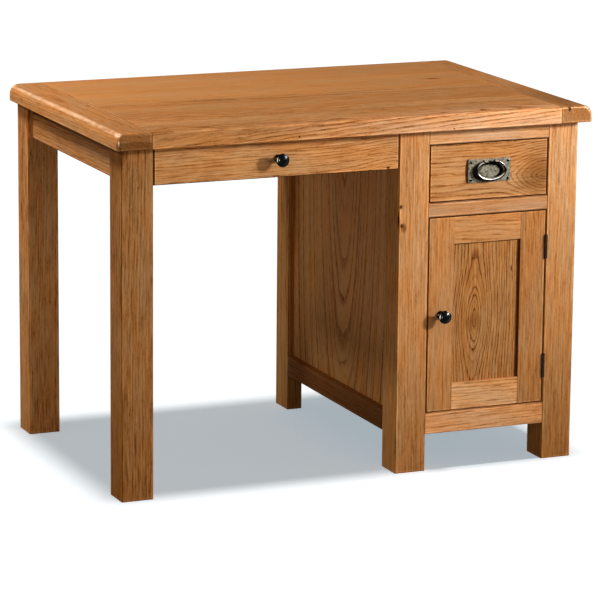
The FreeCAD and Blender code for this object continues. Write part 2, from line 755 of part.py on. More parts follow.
make_top()
make_legs()
make_kneehole_frame()
make_pedestal_sides()
make_pedestal_front()
make_pedestal_back()
make_cupboard_boards()
make_drawer_supports()
make_kneehole_drawer()
make_knob("kneehole_drawer_knob", "kneehole_drawer_front", (knee_front.x0 + knee_front.x1) / 2,
          (knee_front.z0 + knee_front.z1) / 2, drawer_front_thickness)
make_pedestal_drawer()
make_door()

os.makedirs("parts", exist_ok=True)
for name, shape in pieces.items():
    solids = shape.Solids
    whole = solids[0] if len(solids) == 1 else Part.makeCompound(solids)
    whole.exportStep(os.path.join("parts", name + ".step"))
    print(name, len(solids), "valid" if whole.isValid() else "NOT VALID", round(whole.Volume))
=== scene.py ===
# %% [markdown]
# # Dressing a kneehole desk in oak
#
# The desk is already built as solids: legs, rails, drawers, a door, hinges and a handle, each in its place
# and at its real size. This lesson gives those solids their looks. Most of them only need a finish, so they
# keep their shape. The pieces that the eye rests on, which are the top's boards, the knobs and the handle,
# get finer surfaces worked out with numpy. The frame is loaded first, because every place comes from it.

# %% Load the desk
import math

import bmesh
import bpy
import numpy as np
from mathutils import Euler, Matrix, Vector


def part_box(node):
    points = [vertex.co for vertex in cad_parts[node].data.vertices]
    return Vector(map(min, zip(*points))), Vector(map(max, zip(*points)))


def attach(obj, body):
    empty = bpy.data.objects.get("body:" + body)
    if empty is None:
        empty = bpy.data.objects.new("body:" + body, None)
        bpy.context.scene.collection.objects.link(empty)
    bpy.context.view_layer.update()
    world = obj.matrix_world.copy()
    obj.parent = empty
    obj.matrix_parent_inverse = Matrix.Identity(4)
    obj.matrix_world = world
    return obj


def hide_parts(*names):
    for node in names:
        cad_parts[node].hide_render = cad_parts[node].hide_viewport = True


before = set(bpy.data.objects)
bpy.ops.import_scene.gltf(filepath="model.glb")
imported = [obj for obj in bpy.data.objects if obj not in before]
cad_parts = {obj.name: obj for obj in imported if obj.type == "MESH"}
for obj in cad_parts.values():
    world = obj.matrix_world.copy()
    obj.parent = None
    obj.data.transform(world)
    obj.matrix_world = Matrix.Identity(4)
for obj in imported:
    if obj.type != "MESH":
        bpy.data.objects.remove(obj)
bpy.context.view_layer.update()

scene = bpy.context.scene
scene.view_settings.view_transform = "Standard"
mm = 0.001

# %% [markdown]
# ## The camera
#
# The picture was taken with a long lens from the front left, a little above the top. Where the camera stood
# was worked out from the corners of the desk, so the camera is written as a place, three turns and a focal
# length. Tracking it to a target would be easier to read, but it would lose the small roll.

# %% Camera
camera_place = Vector((-2.8582, -6.7204, 1.9447))
camera_yaw, camera_pitch, camera_roll = (math.radians(turn) for turn in (23.127, 12.515, 0.525))
picture_width_px = 600
focal_length_px = 3407.7

lens = bpy.data.cameras.new("camera")
lens.lens = lens.sensor_width * focal_length_px / picture_width_px
camera = bpy.data.objects.new("camera", lens)
camera.matrix_world = (Matrix.Translation(camera_place) @ Matrix.Rotation(-camera_yaw, 4, "Z")
                       @ Matrix.Rotation(math.pi / 2 - camera_pitch, 4, "X")
                       @ Matrix.Rotation(camera_roll, 4, "Z"))
scene.collection.objects.link(camera)
scene.camera = camera
print("lens of", round(lens.lens, 1), "mm")

# %% [markdown]
# ## Building node trees from code
#
# A material is a tree of nodes. It could be drawn in the shader editor, but dozens of boards with a tree
# each are easier to write. One helper adds a node and feeds its sockets, either with a value or with
# another node's output. The others are short for nodes that come up again and again: sums, a smooth step,
# two colours over each other, the distance from an oval's middle, and the way in which a surface looks.

# %% Node helpers
def add(tree, kind, inputs, **settings):
    """Adds a node. Inputs maps socket names or numbers to a value, or to the output that feeds them."""
    made = tree.nodes.new("ShaderNode" + kind)
    for name, value in settings.items():
        setattr(made, name, value)
    for key, value in inputs.items():
        if isinstance(value, bpy.types.NodeSocket):
            tree.links.new(value, made.inputs[key])
        else:
            made.inputs[key].default_value = value
    return made


def math_of(tree, operation, *values):
    """The result of a Math node."""
    return add(tree, "Math", dict(enumerate(values)), operation=operation).outputs[0]


def vector_of(tree, operation, *values):
    """The vector that a Vector Math node gives, or the number where it measures a length or an angle."""
    made = add(tree, "VectorMath", dict(enumerate(values)), operation=operation)
    return made.outputs["Value" if operation in ("LENGTH", "DOT_PRODUCT") else "Vector"]


def scaled(tree, vector, factor):
    """A vector or a colour times a number."""
    return add(tree, "VectorMath", {0: vector, "Scale": factor}, operation="SCALE").outputs[0]


def smooth_step(tree, value, low, high, at_low=0.0, at_high=1.0):
    """Goes smoothly from one value to another while the input goes from low to high."""
    ends = {"Value": value, "From Min": low, "From Max": high, "To Min": at_low, "To Max": at_high}
    return add(tree, "MapRange", ends, interpolation_type="SMOOTHSTEP").outputs[0]


def blended(tree, share, first, second, way="MIX"):
    """The first colour where the share is 0, and the second, or both multiplied, where the share is 1."""
    return add(tree, "Mix", {0: share, 6: first, 7: second}, data_type="RGBA", blend_type=way).outputs[2]


def oval_distance(tree, spot, centre, size):
    """How far a point is from the middle of an oval, counted so that the oval's border is at 1."""
    offset = vector_of(tree, "SUBTRACT", spot, centre)
    return vector_of(tree, "LENGTH", vector_of(tree, "DIVIDE", offset, size))


def toward(tree, normal, way):
    """The cosine of the angle between a surface's normal and a direction: 1 where it looks that way."""
    return vector_of(tree, "DOT_PRODUCT", normal, Vector(way).normalized())


def seen_directly(tree):
    """1 for rays from the camera and for reflections, 0 for the light that falls on things."""
    rays = add(tree, "LightPath", {}).outputs
    mirrored = math_of(tree, "MAXIMUM", rays["Is Glossy Ray"], rays["Is Transmission Ray"])
    return math_of(tree, "MAXIMUM", rays["Is Camera Ray"], mirrored)


def new_material(name):
    """A material with an empty tree."""
    material = bpy.data.materials.new(name)
    material.use_nodes = True
    material.node_tree.nodes.clear()
    return material


print("node helpers are ready")

# %% [markdown]
# ## A white studio
#
# The desk stands in a plain white room. A white world of full strength would also light the desk from all
# round and wash out its shading, so the world is white only where it is seen or mirrored, and it lights the
# desk only a little, in a warm tone.

# %% World
ambient_level = 0.12
ambient_tone = (1.0, 0.82, 0.58, 1.0)
pure_white = (1.0, 1.0, 1.0, 1.0)

world = bpy.data.worlds.new("studio")
world.use_nodes = True
scene.world = world
tree = world.node_tree
tree.nodes.clear()
soft = add(tree, "Background", {"Color": ambient_tone, "Strength": ambient_level})
white = add(tree, "Background", {"Color": pure_white, "Strength": 1.0})
sky = add(tree, "MixShader", {0: seen_directly(tree), 1: soft.outputs[0], 2: white.outputs[0]})
add(tree, "OutputWorld", {"Surface": sky.outputs[0]})
print("world that looks white and lights with", ambient_level)

# %% [markdown]
# ## The floor
#
# The floor is one large square, made the same way: it is lifted to white where the sun falls on it, keeps a
# soft grey shadow under the desk, and throws only a little light back. A plain white floor would need more
# light to look white, and that light would bleach the wood.

# %% Floor
floor_reach = 40.0
floor_bounce = (0.12, 0.12, 0.12, 1.0)
floor_white = (0.97, 0.97, 0.97, 1.0)
shadow_lift = (0.345, 0.412, 0.460, 1.0)

floor_material = new_material("floor")
tree = floor_material.node_tree
bounce = add(tree, "BsdfDiffuse", {"Color": floor_bounce})
paper = add(tree, "BsdfDiffuse", {"Color": floor_white})
lift = add(tree, "Emission", {"Color": shadow_lift, "Strength": 1.0})
lifted = add(tree, "AddShader", {0: paper.outputs[0], 1: lift.outputs[0]})
shown = add(tree, "MixShader", {0: seen_directly(tree), 1: bounce.outputs[0], 2: lifted.outputs[0]})
add(tree, "OutputMaterial", {"Surface": shown.outputs[0]})

floor_mesh = bpy.data.meshes.new("floor")
floor_corners = [(x * floor_reach, y * floor_reach, 0.0) for x, y in ((-1, -1), (1, -1), (1, 1), (-1, 1))]
floor_mesh.from_pydata(floor_corners, [], [(0, 1, 2, 3)])
floor_mesh.materials.append(floor_material)
floor = bpy.data.objects.new("floor", floor_mesh)
scene.collection.objects.link(floor)
print("floor of", 2 * floor_reach, "m across")

# %% [markdown]
# ## The lamps
#
# The fronts are brightest at the upper right and fade towards the left and the feet, so the key lamp is at
# the right, a little above the top. The top is brightest at its back left corner, so a second large lamp
# hangs there. Weak lamps at the left keep the sides readable and put a glint on the knobs, and two strips,
# at the left and behind, give the rounded edges their sheen. A sun that lights only the floor throws the one
# shadow that the desk stands in. Light linking keeps the lamps and the floor apart.

# %% Lamps
sun_strength = 1.85
sun_softness = math.radians(7)
sun_from = Vector((0.0, -0.05, 1.0))
key_aim = Vector((0.45, -0.32, 1.05))
front_aim = Vector((0.30, -0.30, 0.95))
desk_aim = Vector((0.0, 0.0, 0.60))
daylight, warm, cool = (1.0, 1.0, 1.0), (1.0, 0.86, 0.68), (1.0, 1.0, 1.06)
# Each lamp has a place, an aim, a width, a height, a power, a spread and a tone.
lamps = {
    "key_lamp": (Vector((2.30, -2.20, 1.55)), key_aim, 0.34, 0.34, 11.6, math.radians(60), daylight),
    "broad_lamp": (Vector((1.30, -3.20, 1.60)), front_aim, 2.00, 1.60, 2.7, math.radians(60), cool),
    "rear_lamp": (Vector((-0.90, 0.60, 2.30)), desk_aim, 1.00, 1.00, 12.0, math.pi, daylight),
    "left_lamp": (Vector((-1.75, 0.50, 1.62)), desk_aim, 0.14, 0.14, 14.0, math.pi, daylight),
    "front_fill": (Vector((-2.20, -2.00, 0.60)), desk_aim, 0.80, 0.80, 5.0, math.pi, warm),
    "left_strip": (Vector((-1.70, -1.70, 1.05)), desk_aim, 0.07, 0.60, 1.5, math.pi, daylight),
    "rear_strip": (Vector((-0.90, 3.20, 1.95)), desk_aim, 1.00, 0.25, 8.0, math.pi, daylight),
}
print("area lamps of", sum(lamp[4] for lamp in lamps.values()), "W in all")

# %% Hang the lamps
def linked(name, state):
    """A collection that links a lamp to the floor alone, or leaves the floor out."""
    links = bpy.data.collections.new(name)
    links.objects.link(floor)
    links.collection_objects[0].light_linking.link_state = state
    return links


def hang_lamp(name, data, place, aim, receivers):
    """Puts a lamp at a place, turned to its aim, where the camera doesn't see it."""
    lamp = bpy.data.objects.new(name, data)
    lamp.location = place
    lamp.rotation_euler = (aim - place).to_track_quat("-Z", "Y").to_euler()
    lamp.visible_camera = False
    lamp.light_linking.receiver_collection = receivers
    scene.collection.objects.link(lamp)


only_floor = linked("lights_only_the_floor", "INCLUDE")
without_floor = linked("lights_all_but_the_floor", "EXCLUDE")
sun = bpy.data.lights.new("floor_sun", "SUN")
sun.energy = sun_strength
sun.angle = sun_softness
hang_lamp("floor_sun", sun, sun_from, Vector((0.0, 0.0, 0.0)), only_floor)
for name, (place, aim, width, height, power, spread, tone) in lamps.items():
    data = bpy.data.lights.new(name, "AREA")
    data.shape = "RECTANGLE"
    data.size = width
    data.size_y = height
    data.energy = power
    data.spread = spread
    data.color = tone
    hang_lamp(name, data, place, aim, without_floor)
print("lamps: floor_sun,", ", ".join(lamps))

# %% [markdown]
# ## Oak
#
# A board is a slice of a tree, so its figure is made the way a tree makes it: rings about a pith that runs
# along the board, a little to one side of it and never quite parallel. Where a face cuts the rings at a
# slant it shows flames, and where the trunk swelled round a branch it shows an eye. An image of wood could
# not run round the corners from face to end, and this does. One node group holds the recipe. Each board
# feeds it with its own place in the tree, so no two boards are alike.
#
# The recipe, for a point at (u, v) across and w along the board: bend the point a little by slow noise, add
# the board's offset from the pith and its lean, and take the distance from the pith as r. Each eye adds to
# r by a bell curve. Then r divided by the ring width counts the rings. Every ring starts with a dark porous
# line that fades into pale late wood. Fine noise stretched along w makes the fibres and the pores.

# %% Oak values and noise
oak_ramp = ((0.00, (0.140, 0.044, 0.011, 1.0)), (0.30, (0.350, 0.130, 0.036, 1.0)),
            (0.58, (0.575, 0.246, 0.080, 1.0)), (1.00, (0.740, 0.375, 0.150, 1.0)))
middle_level = 0.60
slow_bend, quick_bend = (7.0, 7.0, 1.7), (60.0, 60.0, 16.0)
quick_reach = (0.0045, 0.0045, 0.0)
broad_patches, hue_patches = (13.0, 13.0, 1.6), (34.0, 34.0, 7.0)
warm_hue, cool_hue = (1.04, 0.98, 0.88, 1.0), (0.96, 1.02, 1.12, 1.0)
streaks = {
    "fibres": ((230.0, 230.0, 18.0), 5.0), "strokes": ((330.0, 330.0, 60.0), 2.0),
    "dashes": ((290.0, 290.0, 110.0), 2.0), "pores": ((1500.0, 1500.0, 95.0), 1.0),
}


def stretched_noise(tree, place, scale, detail):
    """Noise whose grain is finer where the scale is larger, so a small third scale gives long streaks."""
    points = vector_of(tree, "MULTIPLY", place, scale)
    return add(tree, "TexNoise", {"Vector": points, "Scale": 1.0, "Detail": detail}).outputs


def weighted(tree, start, *terms):
    """A sum: the start, and for each term its weight times how far its value is from a middle."""
    for value, weight, middle in terms:
        if middle:
            value = math_of(tree, "SUBTRACT", value, middle)
        start = math_of(tree, "MULTIPLY_ADD", value, weight, start)
    return start


print("oak goes from", oak_ramp[0][1][:3], "to", oak_ramp[-1][1][:3], "with", ", ".join(streaks))

# %% [markdown]
# ### Rings
#
# A tree adds one ring a year about its pith. Cylinders one inside the other would show that too, but they
# could not lean, wander or swell. So the rings are counted from a distance, which a few nodes can bend.

# %% Rings of the tree
eye_rounding = 0.01
uneven_pitch, uneven_rings = 38.0, 2.4
line_peak, line_fade = 0.07, 0.50
faintest_year = 0.3


def bent_place(group, given):
    """The place in the board, pushed about by slow and quick noise, and leaned over along the board."""
    place = given["Place"]
    along = add(group, "SeparateXYZ", {0: place}).outputs[2]
    slow = stretched_noise(group, place, slow_bend, 2.0)["Color"]
    bend = scaled(group, vector_of(group, "SUBTRACT", slow, (0.5, 0.5, 0.5)), given["Wave"])
    quick = stretched_noise(group, place, quick_bend, 1.0)["Color"]
    wobble = vector_of(group, "MULTIPLY_ADD", quick, quick_reach, vector_of(group, "ADD", place, bend))
    return vector_of(group, "ADD", wobble, scaled(group, given["Lean"], along))


def swollen_radius(group, given, bent):
    """The distance from the pith, plus the swell times a bell curve about the eye: e^-(|x| + z^2), with the
    point of |x| a little rounded."""
    from_pith = vector_of(group, "MULTIPLY", vector_of(group, "ADD", bent, given["Pith"]), (1.0, 1.0, 0.0))
    radius = vector_of(group, "LENGTH", from_pith)
    from_eye = vector_of(group, "SUBTRACT", given["Place"], given["Eye"])
    eye_shares = vector_of(group, "DIVIDE", from_eye, given["Eye size"])
    beside, _, beyond = add(group, "SeparateXYZ", {0: eye_shares}).outputs
    pointed = math_of(group, "SQRT", math_of(group, "MULTIPLY_ADD", beside, beside, eye_rounding))
    apart = math_of(group, "MULTIPLY_ADD", beyond, beyond, pointed)
    bell = math_of(group, "EXPONENT", math_of(group, "MULTIPLY", apart, -1.0))
    return math_of(group, "MULTIPLY_ADD", given["Swell"], bell, radius)


def ring_lines(group, given, radius):
    """How dark the porous line of a ring is, and a number drawn for each year. The count of rings is radius
    over ring width, made uneven by noise. Its fraction rises to the peak and fades out after it."""
    uneven = add(group, "TexNoise", {"W": math_of(group, "MULTIPLY", radius, uneven_pitch), "Scale": 1.0},
                 noise_dimensions="1D").outputs[0]
    even_count = math_of(group, "DIVIDE", radius, given["Ring"])
    count = math_of(group, "MULTIPLY_ADD", uneven, uneven_rings, even_count)
    part = math_of(group, "FRACT", count)
    whole = math_of(group, "FLOOR", count)
    year = add(group, "TexWhiteNoise", {"W": whole}, noise_dimensions="1D").outputs[0]
    early = math_of(group, "MULTIPLY", smooth_step(group, part, 0.0, line_peak),
                    smooth_step(group, part, line_peak, line_fade, 1.0, 0.0))
    strength = weighted(group, faintest_year, (year, 1 - faintest_year, 0.0))
    return math_of(group, "MULTIPLY", early, strength), year


print("a ring is darkest at", line_peak, "of its width and pale from", line_fade)

# %% [markdown]
# ### Colour
#
# Lacquered oak is brown in the porous early wood and straw coloured in the late wood. Two colours mixed
# would do, but a ramp of four keeps the middle tones warm. End grain drinks more stain and is darker.

# %% Colour of the oak
hue_range = (0.35, 0.65)
end_grain_range, end_grain_tone = (0.5, 0.95), 0.66
# A pale band a few millimetres in from the edges: partly wear, partly a painted highlight along the arris.
edge_wear_and_highlight = 0.55
pale_band_starts, pale_band_ends = (0.0014, 0.0024), (0.0032, 0.0056)


def oak_colour(group, given, level, fibre):
    """The ramp's colour times the board's tint, in patches of warmer and cooler hue. It is darker where the
    face shows end grain. Fibres are painted pale a few millimetres from the edges, as wear and as a painted
    highlight along the arris."""
    ramp = add(group, "ValToRGB", {0: level})
    ramp.color_ramp.elements.remove(ramp.color_ramp.elements[1])
    for stop, (position, colour) in enumerate(oak_ramp):
        element = ramp.color_ramp.elements[0] if stop == 0 else ramp.color_ramp.elements.new(position)
        element.position = position
        element.color = colour
    tinted = blended(group, 1.0, ramp.outputs[0], given["Tint"], "MULTIPLY")
    patchy = smooth_step(group, stretched_noise(group, given["Place"], hue_patches, 2.0)[0], *hue_range)
    hued = vector_of(group, "MULTIPLY", tinted, blended(group, patchy, warm_hue, cool_hue))
    end_on = math_of(group, "ABSOLUTE", add(group, "SeparateXYZ", {0: given["Facing"]}).outputs[2])
    end_tone = smooth_step(group, end_on, *end_grain_range, 1.0, end_grain_tone)
    brightened = math_of(group, "MULTIPLY", smooth_step(group, given["Edge"], *pale_band_starts),
                   smooth_step(group, given["Edge"], *pale_band_ends, 1.0, 0.0))
    pale = math_of(group, "MULTIPLY_ADD", math_of(group, "MULTIPLY", brightened, fibre), edge_wear_and_highlight, end_tone)
    return scaled(group, hued, pale)


print("end grain is darkened to", end_grain_tone)

# %% [markdown]
# ### The recipe put together
#
# The group adds up the rings, fibres, strokes, dashes and pores, each with a weight of its own. A node group
# is like a function: it is written once, and each board calls it with its own numbers. A copy of all its
# nodes in every board would look the same and be slow to change.

# %% Oak grain
stroke_range, dash_range, pore_range = (0.50, 0.70), (0.48, 0.66), (0.55, 0.68)
line_between_dashes, pore_between_lines = 0.65, 0.4
grain_inputs = {
    "Place": "Vector", "Facing": "Vector", "Pith": "Vector", "Lean": "Vector", "Eye": "Vector",
    "Eye size": "Vector", "Swell": "Float", "Ring": "Float", "Wave": "Float", "Figure": "Float",
    "Tint": "Color", "Edge": "Float", "Contrast": "Float",
}
grain_outputs = {"Color": "Color", "Roughness": "Float", "Height": "Float"}


def make_oak_grain():
    """The node group that turns a place in a board into the colour, roughness and height of oak."""
    group = bpy.data.node_groups.new("oak_grain", "ShaderNodeTree")
    for way, sockets in (("INPUT", grain_inputs), ("OUTPUT", grain_outputs)):
        for name, kind in sockets.items():
            group.interface.new_socket(name, in_out=way, socket_type="NodeSocket" + kind)
    given = group.nodes.new("NodeGroupInput").outputs
    bent = bent_place(group, given)
    line, year = ring_lines(group, given, swollen_radius(group, given, bent))

    fibre, stroke, dash, pin = (stretched_noise(group, bent, *streak)[0] for streak in streaks.values())
    strokes = smooth_step(group, stroke, *stroke_range)
    dashes = smooth_step(group, dash, *dash_range)
    pins = smooth_step(group, pin, *pore_range)
    broad = stretched_noise(group, given["Place"], broad_patches, 3.0)[0]
    broken = math_of(group, "MULTIPLY", line,
                     weighted(group, line_between_dashes, (dashes, 1 - line_between_dashes, 0.0)))
    pore = math_of(group, "MULTIPLY", math_of(group, "MAXIMUM", dashes, pins),
                   weighted(group, pore_between_lines, (line, 1 - pore_between_lines, 0.0)))

    figure = weighted(group, 0.13, (broken, -0.85, 0.0), (year, 0.14, 0.5))
    figure = math_of(group, "MULTIPLY", figure, given["Figure"])
    texture = weighted(group, 0.06, (fibre, 0.95, 0.5), (broad, 0.50, 0.5), (strokes, -0.10, 0.0),
                       (pore, -0.18, 0.0), (dash, 0.42, 0.5))
    texture = math_of(group, "MULTIPLY_ADD", texture, given["Contrast"], middle_level)
    made = {
        "Color": oak_colour(group, given, math_of(group, "ADD", figure, texture), fibre),
        "Roughness": weighted(group, 0.40, (fibre, 0.16, 0.0), (pore, 0.20, 0.0)),
        "Height": weighted(group, 0.0, (pore, -1.0, 0.0), (line, -0.3, 0.0), (fibre, 0.35, 0.0)),
    }
    results = group.nodes.new("NodeGroupOutput").inputs
    for name, value in made.items():
        group.links.new(value, results[name])
    return group


oak_grain = make_oak_grain()
print("oak grain has", len(oak_grain.nodes), "nodes")

# %% [markdown]
# ## One oak finish per board
#
# A Mapping node turns each board's own coordinates so that the third one runs along its grain, with the
# middle of the board at zero. The grain runs along the longest side, as a joiner cuts it. A mark is an oval
# in the board's own place that multiplies the colour. It is a pin knot or a stain, or painted shade, a
# painted shadow or painted light where the lamps alone don't give the tone. The large rounds of the top get a
# painted highlight, paler where they look towards the lamps, and one is also polished so that its coat
# shines. That is told from the direction in which the surface looks, so it follows the round.

# %% Edges and rounds of a board
# Cloudy noise that breaks up the painted highlights and the coat's shine on the rounds.
highlight_and_polish_grain = (60.0, 60.0, 60.0)


def grain_of(low, high):
    """The axis along which a board is longest."""
    return "xyz"[int(np.argmax(np.subtract(high, low)))]


def edge_distance(tree, spot, low, high):
    """How far a point on a box's surface is from the nearest edge: the middle one of its three distances
    from the box's sides, because the smallest is that from the face that it lies on."""
    inward = vector_of(tree, "MINIMUM", vector_of(tree, "SUBTRACT", spot, low),
                       vector_of(tree, "SUBTRACT", high, spot))
    x, y, z = add(tree, "SeparateXYZ", {0: inward}).outputs
    larger = math_of(tree, "MINIMUM", math_of(tree, "MAXIMUM", x, y), z)
    return math_of(tree, "MAXIMUM", math_of(tree, "MINIMUM", x, y), larger)


def patchy_round(tree, spot, way, cosines, patches):
    """The part of a round that looks one way: a smooth step of the cosine, times one of cloudy noise."""
    patch_noise = stretched_noise(tree, spot["Object"], highlight_and_polish_grain, 3.0)[0]
    return math_of(tree, "MULTIPLY", smooth_step(tree, toward(tree, spot["Normal"], way), *cosines),
                   smooth_step(tree, patch_noise, *patches))


print("a board of 1 by 3 by 2 has its grain along", grain_of((0, 0, 0), (1, 3, 2)))

# %% Oak finish
grain_turns = {"x": (0.0, -math.pi / 2, 0.0), "y": (math.pi / 2, 0.0, 0.0), "z": (0.0, 0.0, 0.0)}
oak_sheen = 0.08
oak_relief, relief_strength = 0.0005, 0.5
edge_line = (0.0012, 0.0021)
# Painted highlight: a round's colour is multiplied by this tone where the round looks towards the lamps.
painted_highlight_tone = (1.55, 1.95, 2.90, 1.0)
highlight_cosines, highlight_patches = (0.955, 0.996), (0.34, 0.60, 0.55, 1.0)
polish_roughness = 0.22
polish_cosines, polish_patches = (0.88, 0.99, 0.0, 0.10), (0.38, 0.62, 0.25, 1.0)
draw = np.random.default_rng(11)


def oak(name, low, high, pith=None, lean=None, eye=(0.0, 0.0, 0.0), eye_size=(1.0, 1.0, 1.0), swell=0.0,
        ring=0.0065, wave=0.012, figure=0.45, contrast=1.0, tint=(1.0, 1.0, 1.0), marks=(), rim=None,
        gap=0.65, polish=None, painted_highlights=()):
    """A lacquered oak finish for the board between two corners. Marks are ovals (centre, size, tint, core)
    that multiply the colour. Rim is the box whose edges get the pale band and the dark line. Gap is how dark
    that line is right at those edges: a dark joint between boards, and painted shade where a front stands in
    a gap. Painted_highlights holds the directions in which a round gets a painted highlight, and polish is
    the one in which its coat shines."""
    turn = draw.uniform(0, 2 * math.pi)
    reach = draw.uniform(0.05, 0.16)
    slope = draw.uniform(-0.02, 0.02, 2)
    pith = pith or (reach * math.cos(turn), reach * math.sin(turn))
    lean = lean or tuple(slope)
    turns = grain_turns[grain_of(low, high)]
    middle = Euler(turns).to_matrix() @ ((Vector(low) + Vector(high)) / 2)

    material = new_material("oak_" + name)
    tree = material.node_tree
    spot = add(tree, "TexCoord", {}).outputs
    place = add(tree, "Mapping", {"Vector": spot["Object"], "Location": -middle, "Rotation": turns})
    facing = add(tree, "Mapping", {"Vector": spot["Normal"], "Rotation": turns}, vector_type="VECTOR")
    edge = edge_distance(tree, spot["Object"], *(rim or (low, high)))
    grain = add(tree, "Group", {
        "Place": place.outputs[0], "Facing": facing.outputs[0], "Edge": edge, "Pith": (*pith, 0.0),
        "Lean": (*lean, 0.0), "Eye": eye, "Eye size": eye_size, "Swell": swell, "Ring": ring, "Wave": wave,
        "Figure": figure, "Contrast": contrast, "Tint": (*tint, 1.0)}, node_tree=oak_grain).outputs

    # Darker right at the edges: a dark joint between boards, and painted shade where a front stands in a gap.
    shade = scaled(tree, grain["Color"], smooth_step(tree, edge, *edge_line, gap, 1.0))
    for centre, size, mark_tint, core in marks:
        inside = smooth_step(tree, oval_distance(tree, spot["Object"], centre, size), core, 1.0, 1.0, 0.0)
        shade = blended(tree, inside, shade, (*mark_tint, 1.0), "MULTIPLY")
    # Painted highlights: the rounds are painted paler where they look towards the lamps.
    for way in painted_highlights:
        pale = patchy_round(tree, spot, way, highlight_cosines, highlight_patches)
        shade = blended(tree, pale, shade, painted_highlight_tone, "MULTIPLY")
    bump = add(tree, "Bump", {"Strength": relief_strength, "Distance": oak_relief,
                              "Height": grain["Height"]})
    wood = add(tree, "BsdfPrincipled", {"Base Color": shade, "Roughness": grain["Roughness"],
                                        "Metallic": oak_sheen, "Specular IOR Level": 0.0,
                                        "Normal": bump.outputs[0]})
    if polish:
        gloss = patchy_round(tree, spot, polish, polish_cosines, polish_patches)
        wood.inputs["Coat Roughness"].default_value = polish_roughness
        tree.links.new(gloss, wood.inputs["Coat Weight"])
    add(tree, "OutputMaterial", {"Surface": wood.outputs[0]})
    return material


print("grain turns for", ", ".join(grain_turns))

# %% [markdown]
# ## Which board shows what
#
# Boards differ, and a maker sorts them. The flamed ones go to the front, and quiet ones to the frame. So each
# board that shows has a character of its own: its place in the tree, its tint, how strong its figure is, and
# its marks. The rest are quiet boards whose figure is drawn by lot from a fixed seed. A table of characters
# keeps the recipe apart from the boards. The top comes first: plain wood with a dark knot at the right. Its
# front edge has painted light, paler towards the right, and the front of the right end board's top has
# painted shade. The front left corner and the rounds of the end boards have painted highlights, with a glint.

# %% Characters of the top
dark_knot = (0.16, 0.11, 0.08)
brown_knot = (0.50, 0.42, 0.36)
knot_core = 0.3
top_front, top_under, top_face = -0.350, 0.744, 0.780


def knot(centre, size, tint=dark_knot):
    """A small knot or pin hole with a soft border."""
    return (centre, size, tint, knot_core)


characters = {
    "top_board_1": {
        "pith": (0.030, 0.060), "lean": (0.075, 0.0), "ring": 0.0075, "figure": 0.85, "contrast": 1.3,
        "gap": 0.85, "tint": (0.93, 0.90, 0.84),
        # painted light: the front edge is paler towards the right, as if lit from the front right
        "marks": [((0.50, top_front, 0.765), (0.85, 0.09, 0.09), (1.24, 1.38, 1.90), 0.2),
                  knot((-0.142, top_front, 0.752), (0.003, 0.004, 0.003)),
                  knot((0.211, top_front, 0.748), (0.003, 0.004, 0.003))]},
    "top_board_2": {"figure": 0.35, "contrast": 0.8, "gap": 0.80, "tint": (0.88, 0.85, 0.79)},
    "top_board_3": {
        "figure": 0.22, "contrast": 0.5, "gap": 0.80, "tint": (0.99, 0.98, 0.92),
        "marks": [((0.374, 0.103, top_face), (0.026, 0.011, 0.01), (0.36, 0.28, 0.22), 0.1)]},
    "top_board_4": {"figure": 0.18, "contrast": 0.4, "gap": 0.85, "tint": (0.98, 0.97, 0.94)},
    "top_end_left": {
        "figure": 0.30, "contrast": 0.9, "tint": (0.87, 0.82, 0.75),
        # The coat shines on the left round, and a painted highlight band runs along it.
        "polish": (-0.50, -0.15, 0.86), "painted_highlights": [(-0.61, -0.05, 0.79)],
        # painted light on the left side and its round
        "marks": [((-0.540, 0.0, 0.757), (0.020, 0.6, 0.026), (1.17, 1.23, 1.33), 0.4),
                  ((-0.503, top_front, 0.752), (0.060, 0.020, 0.012), (0.64, 0.58, 0.51), 0.7),
                  # a painted highlight spot where the round meets the front corner, and a painted glint down
                  # the corner
                  ((-0.533, -0.330, 0.774), (0.009, 0.020, 0.008), (1.7, 2.2, 3.4), 0.3),
                  ((-0.5365, -0.3473, 0.760), (0.0022, 0.0022, 0.007), (2.6, 4.5, 9.0), 0.4),
                  ((-0.477, 0.006, top_face), (0.008, 0.010, 0.01), brown_knot, 0.2)]},
    "top_end_right": {
        "figure": 0.30, "contrast": 0.9, "tint": (0.95, 0.92, 0.88), "gap": 0.85,
        # painted highlights along the end board's front round
        "painted_highlights": [(0.05, -0.90, 0.44), (0.24, -0.90, 0.37), (0.40, -0.90, 0.20)],
        # painted shade on the front part of the end board's top
        "marks": [((0.500, -0.24, 0.785), (0.10, 0.30, 0.014), (0.55, 0.54, 0.49), 0.2),
                  ((0.483, -0.348, 0.775), (0.0050, 0.009, 0.008), dark_knot, 0.4)]},
}
print("top boards with a character:", ", ".join(characters))

# %% [markdown]
# ### Legs, apron and rails
#
# The frame is quiet wood. Its legs have painted shade towards the feet and a painted shadow under the
# overhang of the top, and the right front leg has painted light at the top. The apron has a painted shadow
# under the top, and the pedestal side's bottom rail is painted darker, as shade. The front leg of the
# pedestal has a group of knots at its left edge.

# %% Characters of the frame
leg_face = -0.318
leg_middle = -0.283
rear_leg_face = 0.277
left_leg_side = -0.520
# painted shadow under the overhang of the top, on the left legs
overhang_shade = (0.45, 0.38, 0.30)
foot_reach = 0.45


def painted_foot_shade(x, y, tint):
    """Paints shade on the foot of a leg, darker towards the floor."""
    return ((x, y, 0.0), (0.2, 0.2, foot_reach), tint, 0.0)


